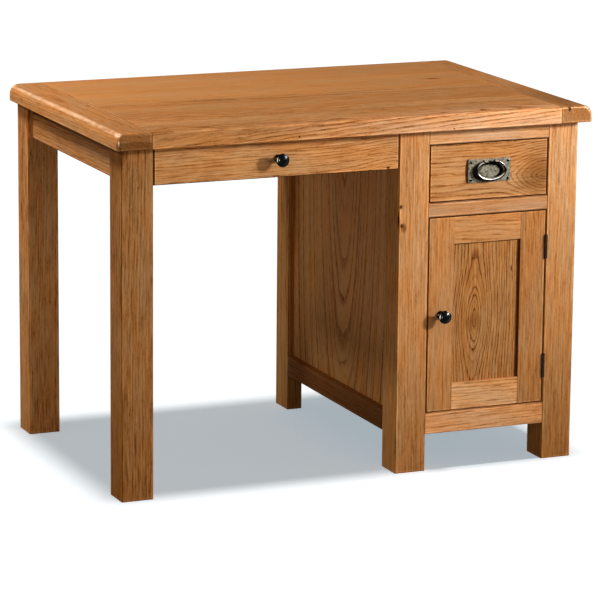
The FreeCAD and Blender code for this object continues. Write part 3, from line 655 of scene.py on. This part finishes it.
characters.update({
    "leg_left_front": {
        "tint": (0.70, 0.67, 0.60), "contrast": 1.7,
        # painted shade at the foot and low on the left side, and a painted shadow under the top
        "marks": [painted_foot_shade(-0.485, leg_middle, (1.0, 0.96, 0.86)),
                  ((left_leg_side, leg_middle, 0.0), (0.012, 0.2, 0.40), (0.76, 0.68, 0.48), 0.2),
                  ((left_leg_side, leg_middle, top_under), (0.010, 0.2, 0.060), overhang_shade, 0.5)]},
    "leg_left_rear": {
        "contrast": 1.8, "tint": (1.00, 0.97, 0.90),
        # painted shade at the foot and a painted shadow under the top
        "marks": [painted_foot_shade(-0.485, rear_leg_face, (0.92, 0.88, 0.78)),
                  ((left_leg_side, rear_leg_face, top_under), (0.010, 0.2, 0.052), overhang_shade, 0.5)]},
    "leg_right_front": {
        "contrast": 1.2, "figure": 0.30,
        # painted shade at the foot and painted light at the top of the front
        "marks": [painted_foot_shade(0.485, leg_middle, (0.80, 0.74, 0.58)),
                  ((0.485, leg_face, top_under), (0.2, 0.2, 0.30), (1.10, 1.20, 1.42), 0.2)]},
    "leg_pedestal_front": {
        "pith": (0.09, 0.05), "lean": (0.010, 0.0), "figure": 0.30, "contrast": 1.2,
        "tint": (1.05, 1.06, 1.08),
        # painted shade at the foot
        "marks": [painted_foot_shade(0.135, leg_middle, (0.86, 0.82, 0.74)),
                  ((0.100, leg_middle, 0.35), (0.004, 0.2, 0.50), (0.88, 0.88, 0.76), 0.5),
                  knot((0.108, leg_face, 0.541), (0.005, 0.01, 0.007)),
                  knot((0.113, leg_face, 0.536), (0.010, 0.01, 0.014), brown_knot),
                  knot((0.106, leg_face, 0.582), (0.005, 0.01, 0.007)),
                  knot((0.101, leg_face, 0.552), (0.003, 0.01, 0.026))]},
    "leg_pedestal_rear": {"tint": (0.73, 0.71, 0.58)},
    # painted shadow under the overhang of the top
    "apron_left": {"marks": [((-0.51, 0.0, top_under), (0.1, 0.9, 0.060), (0.32, 0.26, 0.20), 0.5)]},
    # painted shade: the rail in the kneehole is tinted and marked darker
    "pedestal_left_bottom_rail": {
        "tint": (0.345, 0.270, 0.180),
        "marks": [((0.11, -0.25, 0.09), (0.1, 0.50, 0.1), (0.58, 0.54, 0.48), 0.0)]},
    "pedestal_front_bottom_rail": {"tint": (1.36, 1.39, 1.55), "contrast": 1.4, "figure": 0.40},
    "pedestal_front_top_rail": {"tint": (1.04, 1.20, 1.58), "contrast": 1.0, "figure": 0.30},
    "pedestal_front_mid_rail": {"tint": (0.87, 0.92, 1.13), "contrast": 1.0, "figure": 0.35},
})
print("legs, apron and rails bring them to", len(characters))

# %% [markdown]
# ### Fronts, door and panels
#
# The best boards are the fronts. The small drawer has a flame that points left and a swirl at its right end,
# the door's panel has a long eye, and the pedestal's side has flames that point down. A drawer front and the
# door stand in an opening with a narrow gap all round, so their outermost edges get painted shade, almost
# black. The four boards of the door share one rim, because they have a gap round them all and none between
# them. Painted shadows lie in the door's recess, along the right stile and under the top rail, and on the
# drawer just left of the handle's plate. The pedestal's side has painted shade low down and painted light at
# its upper back.

# %% Characters of the fronts and panels
drawer_face, panel_face = -0.317, -0.311
# painted shade in the gap round the drawer fronts and the door
front_gap_shade = 0.03
door_box = (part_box("door_stile_left")[0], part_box("door_stile_right")[1])
opening_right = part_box("door_stile_right")[0][0]
opening_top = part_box("door_rail_top")[0][2]
plate_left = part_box("handle_plate")[0][0]
plate_level = (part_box("handle_plate")[0][2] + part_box("handle_plate")[1][2]) / 2

characters.update({
    "kneehole_drawer_front": {
        "pith": (0.17, 0.02), "lean": (0.012, 0.0), "ring": 0.0070, "wave": 0.024, "figure": 0.90,
        "eye": (0.045, 0.0, 0.275), "eye_size": (0.045, 1.0, 0.090), "swell": 0.040,
        "gap": front_gap_shade, "tint": (0.95, 0.94, 0.90), "contrast": 1.6,
        "marks": [knot((0.075, drawer_face, 0.668), (0.007, 0.006, 0.004)),
                  knot((-0.185, drawer_face, 0.665), (0.004, 0.004, 0.003))]},
    "pedestal_drawer_front": {
        "pith": (-0.016, 0.046), "lean": (0.01, 0.0), "ring": 0.0058, "wave": 0.022, "figure": 0.85,
        "eye": (0.019, 0.0, 0.133), "eye_size": (0.050, 1.0, 0.058), "swell": -0.045,
        "gap": front_gap_shade, "tint": (0.87, 0.86, 0.85), "contrast": 1.3,
        "marks": [((0.430, drawer_face, 0.630), (0.068, 0.1, 0.075), (0.56, 0.50, 0.42), 0.1),
                  # painted shadow of the handle's plate, just to its left
                  ((plate_left - 0.001, drawer_face, plate_level), (0.0060, 0.1, 0.030),
                   (0.12, 0.09, 0.07), 0.75)]},
    "door_rail_top": {"contrast": 1.3, "figure": 0.35, "tint": (0.98, 0.95, 0.91)},
    "door_rail_bottom": {"tint": (1.36, 1.46, 1.64), "contrast": 1.5, "figure": 0.40},
    "door_stile_left": {"contrast": 1.0, "figure": 0.25},
    "door_stile_right": {
        "tint": (0.85, 0.81, 0.75), "contrast": 1.3, "figure": 0.30,
        # painted shade on the right stile's inner side, in the recess
        "marks": [((opening_right, -0.31, 0.32), (0.0012, 0.1, 0.8), (0.34, 0.28, 0.22), 0.7)]},
    "door_panel": {
        "pith": (0.025, -0.026), "lean": (0.0, 0.0), "ring": 0.0062, "wave": 0.024, "figure": 1.15,
        "eye": (-0.025, 0.0, -0.018), "eye_size": (0.035, 1.0, 0.085), "swell": -0.035,
        "contrast": 1.6, "tint": (0.77, 0.72, 0.62),
        # painted shadows on the panel, along the right stile and under the top rail
        "marks": [((opening_right, panel_face, 0.32), (0.006, 0.1, 0.8), (0.42, 0.35, 0.28), 0.2),
                  ((0.33, panel_face, opening_top), (0.5, 0.1, 0.005), (0.45, 0.38, 0.30), 0.2),
                  knot((0.372, panel_face, 0.429), (0.0025, 0.004, 0.010)),
                  ((0.284, panel_face, 0.318), (0.030, 0.1, 0.030), (0.72, 0.64, 0.52), 0.1)]},
    "pedestal_left_panel": {
        "pith": (-0.058, 0.012), "lean": (0.180, 0.0), "ring": 0.0145, "wave": 0.016, "figure": 0.75,
        "contrast": 0.9,
        # painted shade low on the side and painted light at its upper back
        "marks": [((0.112, -0.05, 0.10), (0.1, 0.5, 0.25), (0.64, 0.62, 0.52), 0.3),
                  ((0.112, 0.22, 0.55), (0.1, 0.20, 0.40), (1.30, 1.34, 1.16), 0.2)]},
})
for name in ("door_stile_left", "door_stile_right", "door_rail_top", "door_rail_bottom"):
    characters[name].update(rim=door_box, gap=front_gap_shade)
print("boards with a character of their own:", len(characters))

# %% [markdown]
# ## Oak on the solid boards
#
# The legs, rails, fronts, panels and drawer sides keep the shape of their solids and only get a material in
# their slot. The drawers are lined with a paler wood. The boards are taken in the order of their names, so
# that every run draws the same lots for the same board.

# %% Finish the solid boards
drawer_lining_tint = (1.18, 1.34, 1.55)
drawer_lining_figure = 0.6
wooden = ("oak_top", "oak_frame", "oak_front", "oak_panel", "drawer_lining")
for name, piece in sorted(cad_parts.items()):
    slot = piece.material_slots[0].name
    if slot in wooden and not name.startswith("top_"):
        character = dict(characters.get(name, {}))
        if slot == "drawer_lining":
            character.setdefault("tint", drawer_lining_tint)
            character.setdefault("figure", drawer_lining_figure)
        piece.material_slots[0].material = oak(name, *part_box(name), **character)
print("oak on", sum(m.name.startswith("oak_") for m in bpy.data.materials), "boards")

# %% [markdown]
# ## Surfaces from rings
#
# The finer pieces are all the same kind of surface: a closed outline that is carried along something, such
# as a board's section along the board or a circle along a rod. Numpy works out all the rings of points at
# once. Then each ring is joined to the next by four-sided faces. Modelling by hand would give the same
# shapes, but a formula keeps the sizes, which come from the solids, in plain sight. Sizes are in millimetres
# here and become metres when the mesh is made.

# %% Rings to meshes
crease_angle = math.radians(38)
merge_distance = 1e-7


def rings_of(x, y, z):
    """Rings of points from their coordinates, each of which may be the same all round or for all rings."""
    return np.stack(np.broadcast_arrays(x, y, z), axis=-1)


def skin(rings, closed=False):
    """Faces over rings of points: point j of ring i, its neighbour j + 1, and the same two of ring i + 1.
    The first and last rings get a cover, or are joined to each other when the surface is closed."""
    count, around = rings.shape[:2]
    ids = np.arange(count * around).reshape(count, around)
    covers = [] if closed else [ids[0], ids[-1]]
    if closed:
        ids = np.concatenate([ids, ids[:1]])
    after = np.roll(ids, -1, axis=1)
    quads = np.stack([ids[:-1], after[:-1], after[1:], ids[1:]], axis=-1).reshape(-1, 4)
    return rings.reshape(-1, 3), quads, covers


def new_piece(name, skins, material, body, slot, *replaced):
    """Makes one piece from its skins: poles merged, faces outward, edges sharper than the crease kept."""
    starts = np.cumsum([0] + [len(points) for points, _, _ in skins])
    faces = []
    for (_, quads, covers), start in zip(skins, starts):
        faces += (quads + start).tolist()
        faces += [(cover + start).tolist() for cover in covers]
    mesh = bpy.data.meshes.new(name)
    mesh.from_pydata((np.vstack([points for points, _, _ in skins]) * mm).tolist(), [], faces)
    work = bmesh.new()
    work.from_mesh(mesh)
    bmesh.ops.remove_doubles(work, verts=work.verts, dist=merge_distance)
    bmesh.ops.recalc_face_normals(work, faces=work.faces)
    work.to_mesh(mesh)
    work.free()
    mesh.shade_smooth()
    mesh.set_sharp_from_angle(angle=crease_angle)
    mesh.materials.append(material)
    piece = bpy.data.objects.new(name, mesh)
    scene.collection.objects.link(piece)
    shading = piece.modifiers.new("even_shading", "WEIGHTED_NORMAL")
    shading.keep_sharp = True
    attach(piece, body)
    if replaced:
        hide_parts(*replaced)
    print(name, "has", len(mesh.polygons), "faces")


print("surfaces come from rings")

# %% [markdown]
# ## The boards of the top
#
# The top is four boards between two end boards. Their long edges are only just broken, so each joint shows
# as a hair line, the front and back have a small round, and the outer edge of each end board has a large
# one. A bevel modifier would give every edge the same width. Carrying a rounded outline along the board
# gives each long edge its own radius, and drawing its sides in near the ends rounds those too, each by its
# own radius.

# %% Boards of the top
corner_sides = np.array([(1, 1), (-1, 1), (-1, -1), (1, -1)])
joint_ease = 0.45
front_round = 5.0
side_round = 21.0
corner_round = 10.0
under_round = 2.0


def rounded_outline(low, high, radii, steps=8):
    """Rectangles with round corners: corner centre + radius (cos a, sin a), a quarter turn for each corner,
    where the centre lies one radius in from both of the corner's sides."""
    turns = np.linspace(0, np.pi / 2, steps + 1) + np.pi / 2 * np.arange(4)[:, None]
    arcs = np.stack([np.cos(turns), np.sin(turns)], axis=-1)
    radii = np.asarray(radii, float)[:, None, None]
    corners = np.where(corner_sides > 0, high[:, None, :], low[:, None, :]) - corner_sides * radii[:, 0]
    return (corners[:, :, None, :] + radii * arcs).reshape(len(low), -1, 2)


def drawn_in(radius, from_end):
    """How far a round end draws a side in: R - sqrt(R^2 - (R - d)^2) at the distance d, and 0 beyond R."""
    left = np.clip(radius - from_end, 0, None)
    return radius - np.sqrt(radius ** 2 - left ** 2)


def board(low, high, run, radii, low_rounds, high_rounds, steps=16):
    """A board: its rounded outline carried along its run. Towards both ends each of its four sides is drawn
    in by a round of its own, so the ends can be rounder at one side than at another."""
    low, high = np.asarray(low) / mm, np.asarray(high) / mm
    axis = "xyz".index(run)
    across = [other for other in range(3) if other != axis]
    from_end = max(*low_rounds, *high_rounds) * (1 - np.sin(np.linspace(0, np.pi / 2, steps + 1)))
    along = np.concatenate([low[axis] + from_end[::-1], high[axis] - from_end])
    from_end = np.concatenate([from_end[::-1], from_end])[:, None]
    outline = rounded_outline(low[across] + drawn_in(np.array(low_rounds), from_end),
                              high[across] - drawn_in(np.array(high_rounds), from_end), radii)
    rings = np.empty(outline.shape[:2] + (3,))
    rings[..., axis] = along[:, None]
    rings[..., across] = outline
    return skin(rings)


print("rounds of the top, in mm:", joint_ease, under_round, front_round, corner_round, side_round)

# %% Lay the top
end_inner = {"top_end_left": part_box("top_end_left")[1][0], "top_end_right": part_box("top_end_right")[0][0]}
eased_ends = (joint_ease, joint_ease)
board_radii = {
    "top_board_1": (joint_ease, front_round, under_round, joint_ease),
    "top_board_2": (joint_ease,) * 4,
    "top_board_3": (joint_ease,) * 4,
    "top_board_4": (front_round, joint_ease, joint_ease, under_round),
    "top_end_left": (joint_ease, side_round, under_round, joint_ease),
    "top_end_right": (side_round, joint_ease, joint_ease, under_round),
}
for name, radii in board_radii.items():
    low, high = (np.array(corner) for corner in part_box(name))
    if name in end_inner:
        at_left = name.endswith("left")
        low_rounds = (corner_round if at_left else 0.0, under_round)
        high_rounds = (0.0 if at_left else corner_round, front_round)
        made = board(low, high, "y", radii, low_rounds, high_rounds)
    else:
        low[0], high[0] = end_inner["top_end_left"], end_inner["top_end_right"]
        made = board(low, high, "x", radii, eased_ends, eased_ends, 8)
    finish = oak(name, low, high, **characters.get(name, {}))
    new_piece("planed_" + name, [made], finish, "frame", "oak_top", name)

# %% [markdown]
# ## Dark and antique metal
#
# The knobs are black and polished, so they show little but the lamps, and a painted highlight at the upper
# right and the left of each rim stands in for their reflections. The handle has an antique finish: the whole
# casting is stained dark, in cloudy patches of pewter colour. A real one is rubbed bright on its raised
# parts, which Blender can find by itself only on dense meshes. Here the bail, the posts and the pins get a
# painted highlight where a face looks up and out, told in the piece's own coordinates, so it stays on the
# piece when the handle swings. A painted shadow of the bail lies on the plate as a dark oval ring. The hinges
# are bronzed steel.

# %% Metal finish
grit_fineness = 9.0
# The painted highlight reaches full brightness over this last share of the way to its brightest direction.
highlight_fade = 0.35
cloud_share, grit_share = 0.4, 0.5
shadow_ring_fade = (0.12, 0.25)
casting_strength = 0.6


def metal(name, dark, bright, rough, shine=1.0, relief=0.0, painted_highlights=(), highlight_from=0.62, painted_shadow_ring=None,
          scale=220.0, patches=(0.30, 0.70)):
    """A metal that goes from dark to bright in cloudy patches. Shine is the share that mirrors.
    Painted_highlights holds directions that get a painted highlight, from the cosine given, and
    painted_shadow_ring is an oval (centre, size) whose border holds a painted shadow."""
    material = new_material(name)
    tree = material.node_tree
    spot = add(tree, "TexCoord", {}).outputs
    clouds = {"Vector": spot["Object"], "Scale": scale, "Detail": 4.0}
    grains = {"Vector": spot["Object"], "Scale": grit_fineness * scale, "Detail": 2.0}
    cloud, grit = (add(tree, "TexNoise", noise).outputs[0] for noise in (clouds, grains))
    brightened = smooth_step(tree, cloud, *patches)
    # painted highlight where a face looks one of the given ways
    if painted_highlights:
        facing = 0.0
        for way in painted_highlights:
            facing = math_of(tree, "MAXIMUM", toward(tree, spot["Normal"], way), facing)
        painted_highlight = smooth_step(tree, facing, highlight_from, 1 - highlight_fade * (1 - highlight_from))
        brightened = math_of(tree, "MULTIPLY", painted_highlight, weighted(tree, 1 - cloud_share, (brightened, cloud_share, 0.0)))
    # painted shadow: a dark ring along the oval's border
    if painted_shadow_ring:
        beyond = math_of(tree, "SUBTRACT", oval_distance(tree, spot["Object"], *painted_shadow_ring), 1.0)
        painted_shadow = smooth_step(tree, math_of(tree, "ABSOLUTE", beyond), *shadow_ring_fade)
        brightened = math_of(tree, "MULTIPLY", brightened, painted_shadow)
    colour = blended(tree, brightened, (*dark, 1.0), (*bright, 1.0))
    roughness = weighted(tree, rough, (grit, grit_share * rough, 0.5))
    bump = add(tree, "Bump", {"Strength": casting_strength, "Distance": relief, "Height": cloud})
    shader = add(tree, "BsdfPrincipled", {"Base Color": colour, "Roughness": roughness, "Metallic": shine,
                                          "Specular IOR Level": 0.0, "Normal": bump.outputs[0]})
    add(tree, "OutputMaterial", {"Surface": shader.outputs[0]})
    return material


print("metal is worn over the last", highlight_fade, "of the way to its brightest direction")

# %% Metals and plastic
plate_low, plate_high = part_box("handle_plate")
plate_middle = (Vector(plate_low) + Vector(plate_high)) / 2
# painted shadow of the bail on the plate: a dark oval ring, a little left of and below the boss
painted_bail_shadow = (plate_middle + Vector((-0.0035, 0.0, -0.0020)), (0.0315, 1.0, 0.0185))
# painted highlights: crescents at the upper right and the left of each knob's rim
black_polish = metal("black_polish", (0.005, 0.005, 0.005), (0.75, 0.74, 0.70), 0.12,
                     painted_highlights=((0.38, -0.72, 0.58), (-0.74, -0.66, 0.12)), highlight_from=0.94)
antique_plate = metal("antique_plate", (0.008, 0.007, 0.005), (0.370, 0.335, 0.245), 0.40, 0.05, 0.0002,
                      painted_shadow_ring=painted_bail_shadow, patches=(0.15, 0.72))
# painted highlights on the sides of the bail, pins and posts that look up and out
antique_bail = metal("antique_bail", (0.004, 0.004, 0.003), (0.74, 0.70, 0.62), 0.28, 0.8, 0.0002,
                     painted_highlights=((0.10, -0.60, 0.80),))
antique_pins = metal("antique_pins", (0.003, 0.003, 0.002), (0.40, 0.38, 0.33), 0.28, 0.8, 0.0001,
                     painted_highlights=((0.35, -0.55, 0.75),), highlight_from=0.75)
antique_posts = metal("antique_posts", (0.003, 0.003, 0.002), (0.90, 0.87, 0.80), 0.28, 0.8, 0.0001,
                      painted_highlights=((0.05, -0.45, 0.88),), highlight_from=0.80)
hinge_bronze = metal("hinge_bronze", (0.020, 0.013, 0.009), (0.050, 0.034, 0.025), 0.42, 0.6)
bright_plating = metal("bright_plating", (0.42, 0.42, 0.41), (0.60, 0.60, 0.58), 0.30)
catch_plastic = metal("pale_plastic", (0.52, 0.50, 0.45), (0.60, 0.58, 0.53), 0.45, 0.0, scale=500.0)
metals = {"dark_bronze": hinge_bronze, "plated_steel": bright_plating, "catch_plastic": catch_plastic}
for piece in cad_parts.values():
    finish = metals.get(piece.material_slots[0].name)
    if finish:
        piece.material_slots[0].material = finish
print("metals:", ", ".join(m.name for m in (black_polish, antique_plate, antique_bail, *metals.values())))

# %% [markdown]
# ## The knobs
#
# Each knob is turned: a foot on the wood, a hollowed neck, and a head with a round rim and a low dome. A
# turner follows a template, and so does this: a list of radii and heights spun about the knob's axis. The
# stud goes through the wood and ends in a round screw head on the inside.

# %% Knobs
knob_radius = 14.5
knob_projection = 32.0
head_depth = 11.0
rim_radius = 3.5
neck_radius = 5.5
foot_radius = 9.0
foot_depth = 2.5
foot_ease = 0.5
stud_radius = 2.5
stud_length = 22.0
screw_radius = 4.5
screw_rise = 2.2


def arc(centre_radius, centre_height, radius, rise, first, last, steps=12):
    """Profile points on an oval arc: centre + (radius cos a, rise sin a), with a in degrees."""
    turn = np.radians(np.linspace(first, last, steps + 1))
    return np.column_stack([centre_radius + radius * np.cos(turn), centre_height + rise * np.sin(turn)])


def turned(profile, seat, out, around=64, closed=False):
    """A turned form: seat + height out + radius (side cos a + up sin a) for each radius and height."""
    up = np.array((0.0, 0.0, 1.0))
    out = np.asarray(out, float)
    side = np.cross(up, out)
    turn = np.linspace(0, 2 * np.pi, around, endpoint=False)[:, None]
    circle = np.cos(turn) * side + np.sin(turn) * up
    radius, height = np.asarray(profile, float).T[:, :, None, None]
    return skin(np.asarray(seat, float) + height * out + radius * circle, closed)


def knob_profile():
    """Screw head, stud, foot, neck, rim and dome. The neck is a straight line less 4 s (1 - s) times its
    waist, and the dome falls off with the square of the radius."""
    neck_end = knob_projection - head_depth
    rim_centre = knob_radius - rim_radius
    dome_edge = neck_end + 2 * rim_radius
    share = np.linspace(0, 1, 17)
    waist = (foot_radius + rim_centre) / 2 - neck_radius
    straight = foot_radius + (rim_centre - foot_radius) * share
    neck = np.column_stack([straight - 4 * share * (1 - share) * waist,
                            foot_depth + (neck_end - foot_depth) * share])
    fall = np.linspace(1, 0, 11)
    dome_rise = knob_projection - dome_edge
    dome = np.column_stack([rim_centre * fall, dome_edge + dome_rise * (1 - fall ** 2)])
    return np.concatenate([
        arc(0, -stud_length, screw_radius, screw_rise, -90, 0),
        [(stud_radius, -stud_length), (stud_radius, 0)],
        arc(foot_radius - foot_ease, foot_ease, foot_ease, foot_ease, -90, 0, 4),
        neck[1:], arc(rim_centre, neck_end + rim_radius, rim_radius, rim_radius, -90, 90)[1:], dome[1:]])


print("knob profile has", len(knob_profile()), "points")

# %% Turn the knobs
outward = (0, -1, 0)
front_face = -317.0
knob_places = {
    "kneehole_drawer_knob": ("kneehole_drawer", "turned_kneehole_knob"),
    "door_knob": ("door", "turned_door_knob"),
}
for node, (body, name) in knob_places.items():
    low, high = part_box(node)
    seat = ((low[0] + high[0]) / 2 / mm, front_face, (low[2] + high[2]) / 2 / mm)
    new_piece(name, [turned(knob_profile(), seat, outward)], black_polish, body, "dark_bronze", node)

# %% [markdown]
# ## The drop handle
#
# The handle is a cast plate with a wide bevel and an oval boss, held by four round-headed pins. Two posts
# with eyes carry the bail, a rod that swells towards its lowest point and turns in the eyes with its thin
# ends. The plate is a stack of outlines. The bail is a circle carried along its bent line, which a curve
# with a bevel could also do, but the array makes it easy to vary the thickness.

# %% Handle plate
plate_width, plate_height, plate_thickness = 100.0, 51.0, 2.5
plate_corner = 4.0
bevel_width, bevel_depth = 4.5, 1.3
back_ease = 0.3
boss_half_width, boss_half_height = 25.0, 14.5
boss_rise, boss_dish = 1.5, 0.5
plate_centre = np.array(plate_middle) / mm
plate_seat = np.array((plate_centre[0], front_face, plate_centre[2]))


def plate_skin():
    """A stack of rounded rectangles: the back, the edge, and the bevel, which is drawn in step by step to
    its full width. It rises with the sine of a quarter turn, so it is a little round."""
    share = np.linspace(0, 1, 9)
    inset = np.concatenate([[back_ease, 0.0, 0.0], bevel_width * share[1:]])
    edge = plate_thickness - bevel_depth
    rise = np.concatenate([[0.0, back_ease, edge], edge + bevel_depth * np.sin(share[1:] * np.pi / 2)])
    reach = np.array((plate_width, plate_height)) / 2 - inset[:, None]
    outline = rounded_outline(-reach, reach, (plate_corner,) * 4)
    return skin(rings_of(plate_seat[0] + outline[..., 0], plate_seat[1] - rise[:, None],
                         plate_seat[2] + outline[..., 1]))


def boss_skin(around=96):
    """Ovals that shrink towards the middle: a quarter round at the border, then a shallow dish."""
    border = arc(1 - boss_rise / boss_half_height, 0, boss_rise / boss_half_height, boss_rise, 0, 90, 8)
    share = np.linspace(1, 0, 9)[1:]
    dish = np.column_stack([border[-1, 0] * share, boss_rise - boss_dish * (1 - share ** 2)])
    scale, rise = np.concatenate([[(1.0, -plate_thickness / 2)], border, dish]).T[:, :, None]
    turn = np.linspace(0, 2 * np.pi, around, endpoint=False)
    return skin(rings_of(plate_seat[0] + boss_half_width * scale * np.cos(turn),
                         plate_seat[1] - plate_thickness - rise,
                         plate_seat[2] + boss_half_height * scale * np.sin(turn)))


new_piece("cast_handle_plate", [plate_skin(), boss_skin()], antique_plate, "pedestal_drawer",
          "antique_metal", "handle_plate")

# %% Pins of the plate
pin_inset = 6.5
pin_radius, pin_rise = 3.2, 1.8
shank_radius, shank_length = 1.1, 12.0
shank_end = [(0, -shank_length), (shank_radius, 1 - shank_length), (shank_radius, 0)]
pin_profile = np.concatenate([shank_end, arc(0, 0, pin_radius, pin_rise, 0, 90, 10)])
pin_face = front_face - plate_thickness
pin_reach = np.array((plate_width, plate_height)) / 2 - pin_inset
pin_seats = [(plate_seat[0] + across * pin_reach[0], pin_face, plate_seat[2] + up * pin_reach[1])
             for across, up in corner_sides]
new_piece("round_headed_pins", [turned(pin_profile, seat, outward, 32) for seat in pin_seats], antique_pins,
          "pedestal_drawer", "antique_metal", "handle_pins")

# %% [markdown]
# ### Posts and bail
#
# The posts are turned like the knobs: each is an eye about a level axis and a stem about an axis that points
# out of the drawer. The bail is one rod. It lies in the eyes with its thin ends, so it turns about the line
# through both, and its middle is thick enough for a finger.

# %% Posts
post_spacing = 26.0
eye_radius, eye_length, eye_ease = 4.5, 10.0, 1.3
bore_radius = 2.2
stem_radius, stem_start, stem_end = 2.5, 3.2, 32.5
flare_radius, flare_depth = 4.6, 2.2
bail_stand, bail_rise = 8.0, 18.0
bail_axis = np.array((plate_seat[0], front_face - plate_thickness - bail_stand, plate_seat[2] + bail_rise))


def eye_profile():
    """The section of an eye: a rectangle between the bore and the outside, with round outer corners."""
    half = eye_length / 2
    return np.concatenate([
        [(bore_radius, -half), (eye_radius - eye_ease, -half)],
        arc(eye_radius - eye_ease, -half + eye_ease, eye_ease, eye_ease, -90, 0, 6),
        arc(eye_radius - eye_ease, half - eye_ease, eye_ease, eye_ease, 0, 90, 6),
        [(bore_radius, half)]])


def stem_profile():
    """From inside the eye's wall to the plate, a flare on the plate, and on through the drawer front."""
    share = np.linspace(0, 1, 9)
    flare = np.column_stack([stem_radius + (flare_radius - stem_radius) * share ** 3,
                             flare_depth * (1 - share) - bail_stand])
    return np.concatenate([[(0, -stem_start), (stem_radius, -stem_start)], flare,
                           [(stem_radius, -bail_stand), (stem_radius, -stem_end), (0, -stem_end)]])


posts = []
for side in (-1, 1):
    middle = bail_axis + (side * post_spacing / 2, 0, 0)
    posts.append(turned(eye_profile(), middle, (1, 0, 0), 40, closed=True))
    posts.append(turned(stem_profile(), middle, outward, 32))
new_piece("eyed_posts", posts, antique_posts, "pedestal_drawer", "antique_metal", "handle_posts")

# %% Bail
bail_inner, bail_end, bail_half = 8.3, 18.3, 33.8
bail_waist, bail_drop = 16.0, 37.0
rod_thin, rod_top, rod_full = 1.9, 2.7, 3.6
rod_ease = 1.0
shoulder_power = 1.5


def bail_line(steps=28):
    """The right half of the bail: straight in the eye, then a shoulder with (cos a, sin a) raised to a
    power, which flattens it, then a quarter oval to the lowest point. The left half is its mirror image."""
    straight = np.column_stack([np.linspace(bail_inner, bail_end, 9), np.zeros(9)])
    turn = np.linspace(np.pi / 2, 0, steps + 1)[1:]
    power = 2 / shoulder_power
    shoulder = np.column_stack([bail_end + (bail_half - bail_end) * np.cos(turn) ** power,
                                bail_waist * (np.sin(turn) ** power - 1)])
    turn = np.linspace(0, -np.pi / 2, steps + 1)[1:]
    bottom = np.column_stack([bail_half * np.cos(turn),
                              -bail_waist + (bail_drop - bail_waist) * np.sin(turn)])
    right = np.concatenate([straight, shoulder, bottom])
    return np.concatenate([right[:-1], right[::-1] * (-1, 1)])


def rod(line, sides=28):
    """A round rod: line + radius (outward cos b + depth sin b), where outward is at right angles to the
    line. The radius is thin in the eyes and grows with the depth below them."""
    ahead = np.gradient(line, axis=0)
    ahead /= np.linalg.norm(ahead, axis=1)[:, None]
    turn = np.linspace(0, 2 * np.pi, sides, endpoint=False)
    swell = rod_top + (rod_full - rod_top) * -line[:, 1] / bail_drop
    eased = np.clip((np.abs(line[:, 0]) - bail_end) / rod_ease, 0, 1) + (line[:, 1] < -rod_ease)
    radius = (rod_thin + (swell - rod_thin) * np.minimum(eased, 1.0))[:, None]
    return skin(rings_of(bail_axis[0] + line[:, :1] + radius * ahead[:, 1:] * np.cos(turn),
                         bail_axis[1] + radius * np.sin(turn),
                         bail_axis[2] + line[:, 1:] - radius * ahead[:, :1] * np.cos(turn)))


new_piece("drop_bail", [rod(bail_line())], antique_bail, "handle_bail", "antique_metal", "handle_bail")

# %% [markdown]
# ## Screws
#
# The hinge leaves and the strike plate are held by countersunk screws, which show when the door is open. The
# heads sit flush, so only a thin cap with a round recess is needed: the leaf hides the rest. A cap that
# stands a tenth of a millimetre proud keeps the two surfaces apart and still clears the other leaf.

# %% Screws of the hinges and the strike
cap_radius, cap_ease, cap_rise = 3.0, 0.3, 0.1
cap_root = -0.5
recess_radius, recess_floor, recess_taper = 1.2, -0.3, 0.75
leaf_gap = 0.4
screw_depth, screw_stagger, screw_end = 13.5, 3.0, 9.0
strike_screw_end = 6.0
cap_profile = [(0, cap_root), (cap_radius, cap_root), (cap_radius, 0), (cap_radius - cap_ease, cap_rise),
               (recess_radius, cap_rise), (recess_taper * recess_radius, recess_floor), (0, recess_floor)]

pins_low, pins_high = (np.array(corner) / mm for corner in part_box("hinge_pins"))
hinge_x = (pins_low[0] + pins_high[0]) / 2
hinge_y = (pins_low[1] + pins_high[1]) / 2
hinge_length = 52.0
screw_levels = [(base + screw_end, base + hinge_length / 2, base + hinge_length - screw_end)
                for base in (pins_low[2], pins_high[2] - hinge_length)]
for name, body, side in (("hinge_leg_screws", "frame", 1), ("hinge_door_screws", "door", -1)):
    face = hinge_x + side * leaf_gap / 2
    seats = [(face, hinge_y + screw_depth + screw_stagger * (row != 1), level)
             for levels in screw_levels for row, level in enumerate(levels)]
    caps = [turned(cap_profile, seat, (-side, 0, 0), 24) for seat in seats]
    new_piece(name, caps, hinge_bronze, body, "dark_bronze")
strike_low, strike_high = (np.array(corner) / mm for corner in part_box("door_strike"))
strike_level = (strike_low[2] + strike_high[2]) / 2
strike_seats = [(x, strike_high[1], strike_level)
                for x in (strike_low[0] + strike_screw_end, strike_high[0] - strike_screw_end)]
strike_caps = [turned(cap_profile, seat, (0, 1, 0), 24) for seat in strike_seats]
new_piece("strike_screws", strike_caps, bright_plating, "door", "plated_steel")
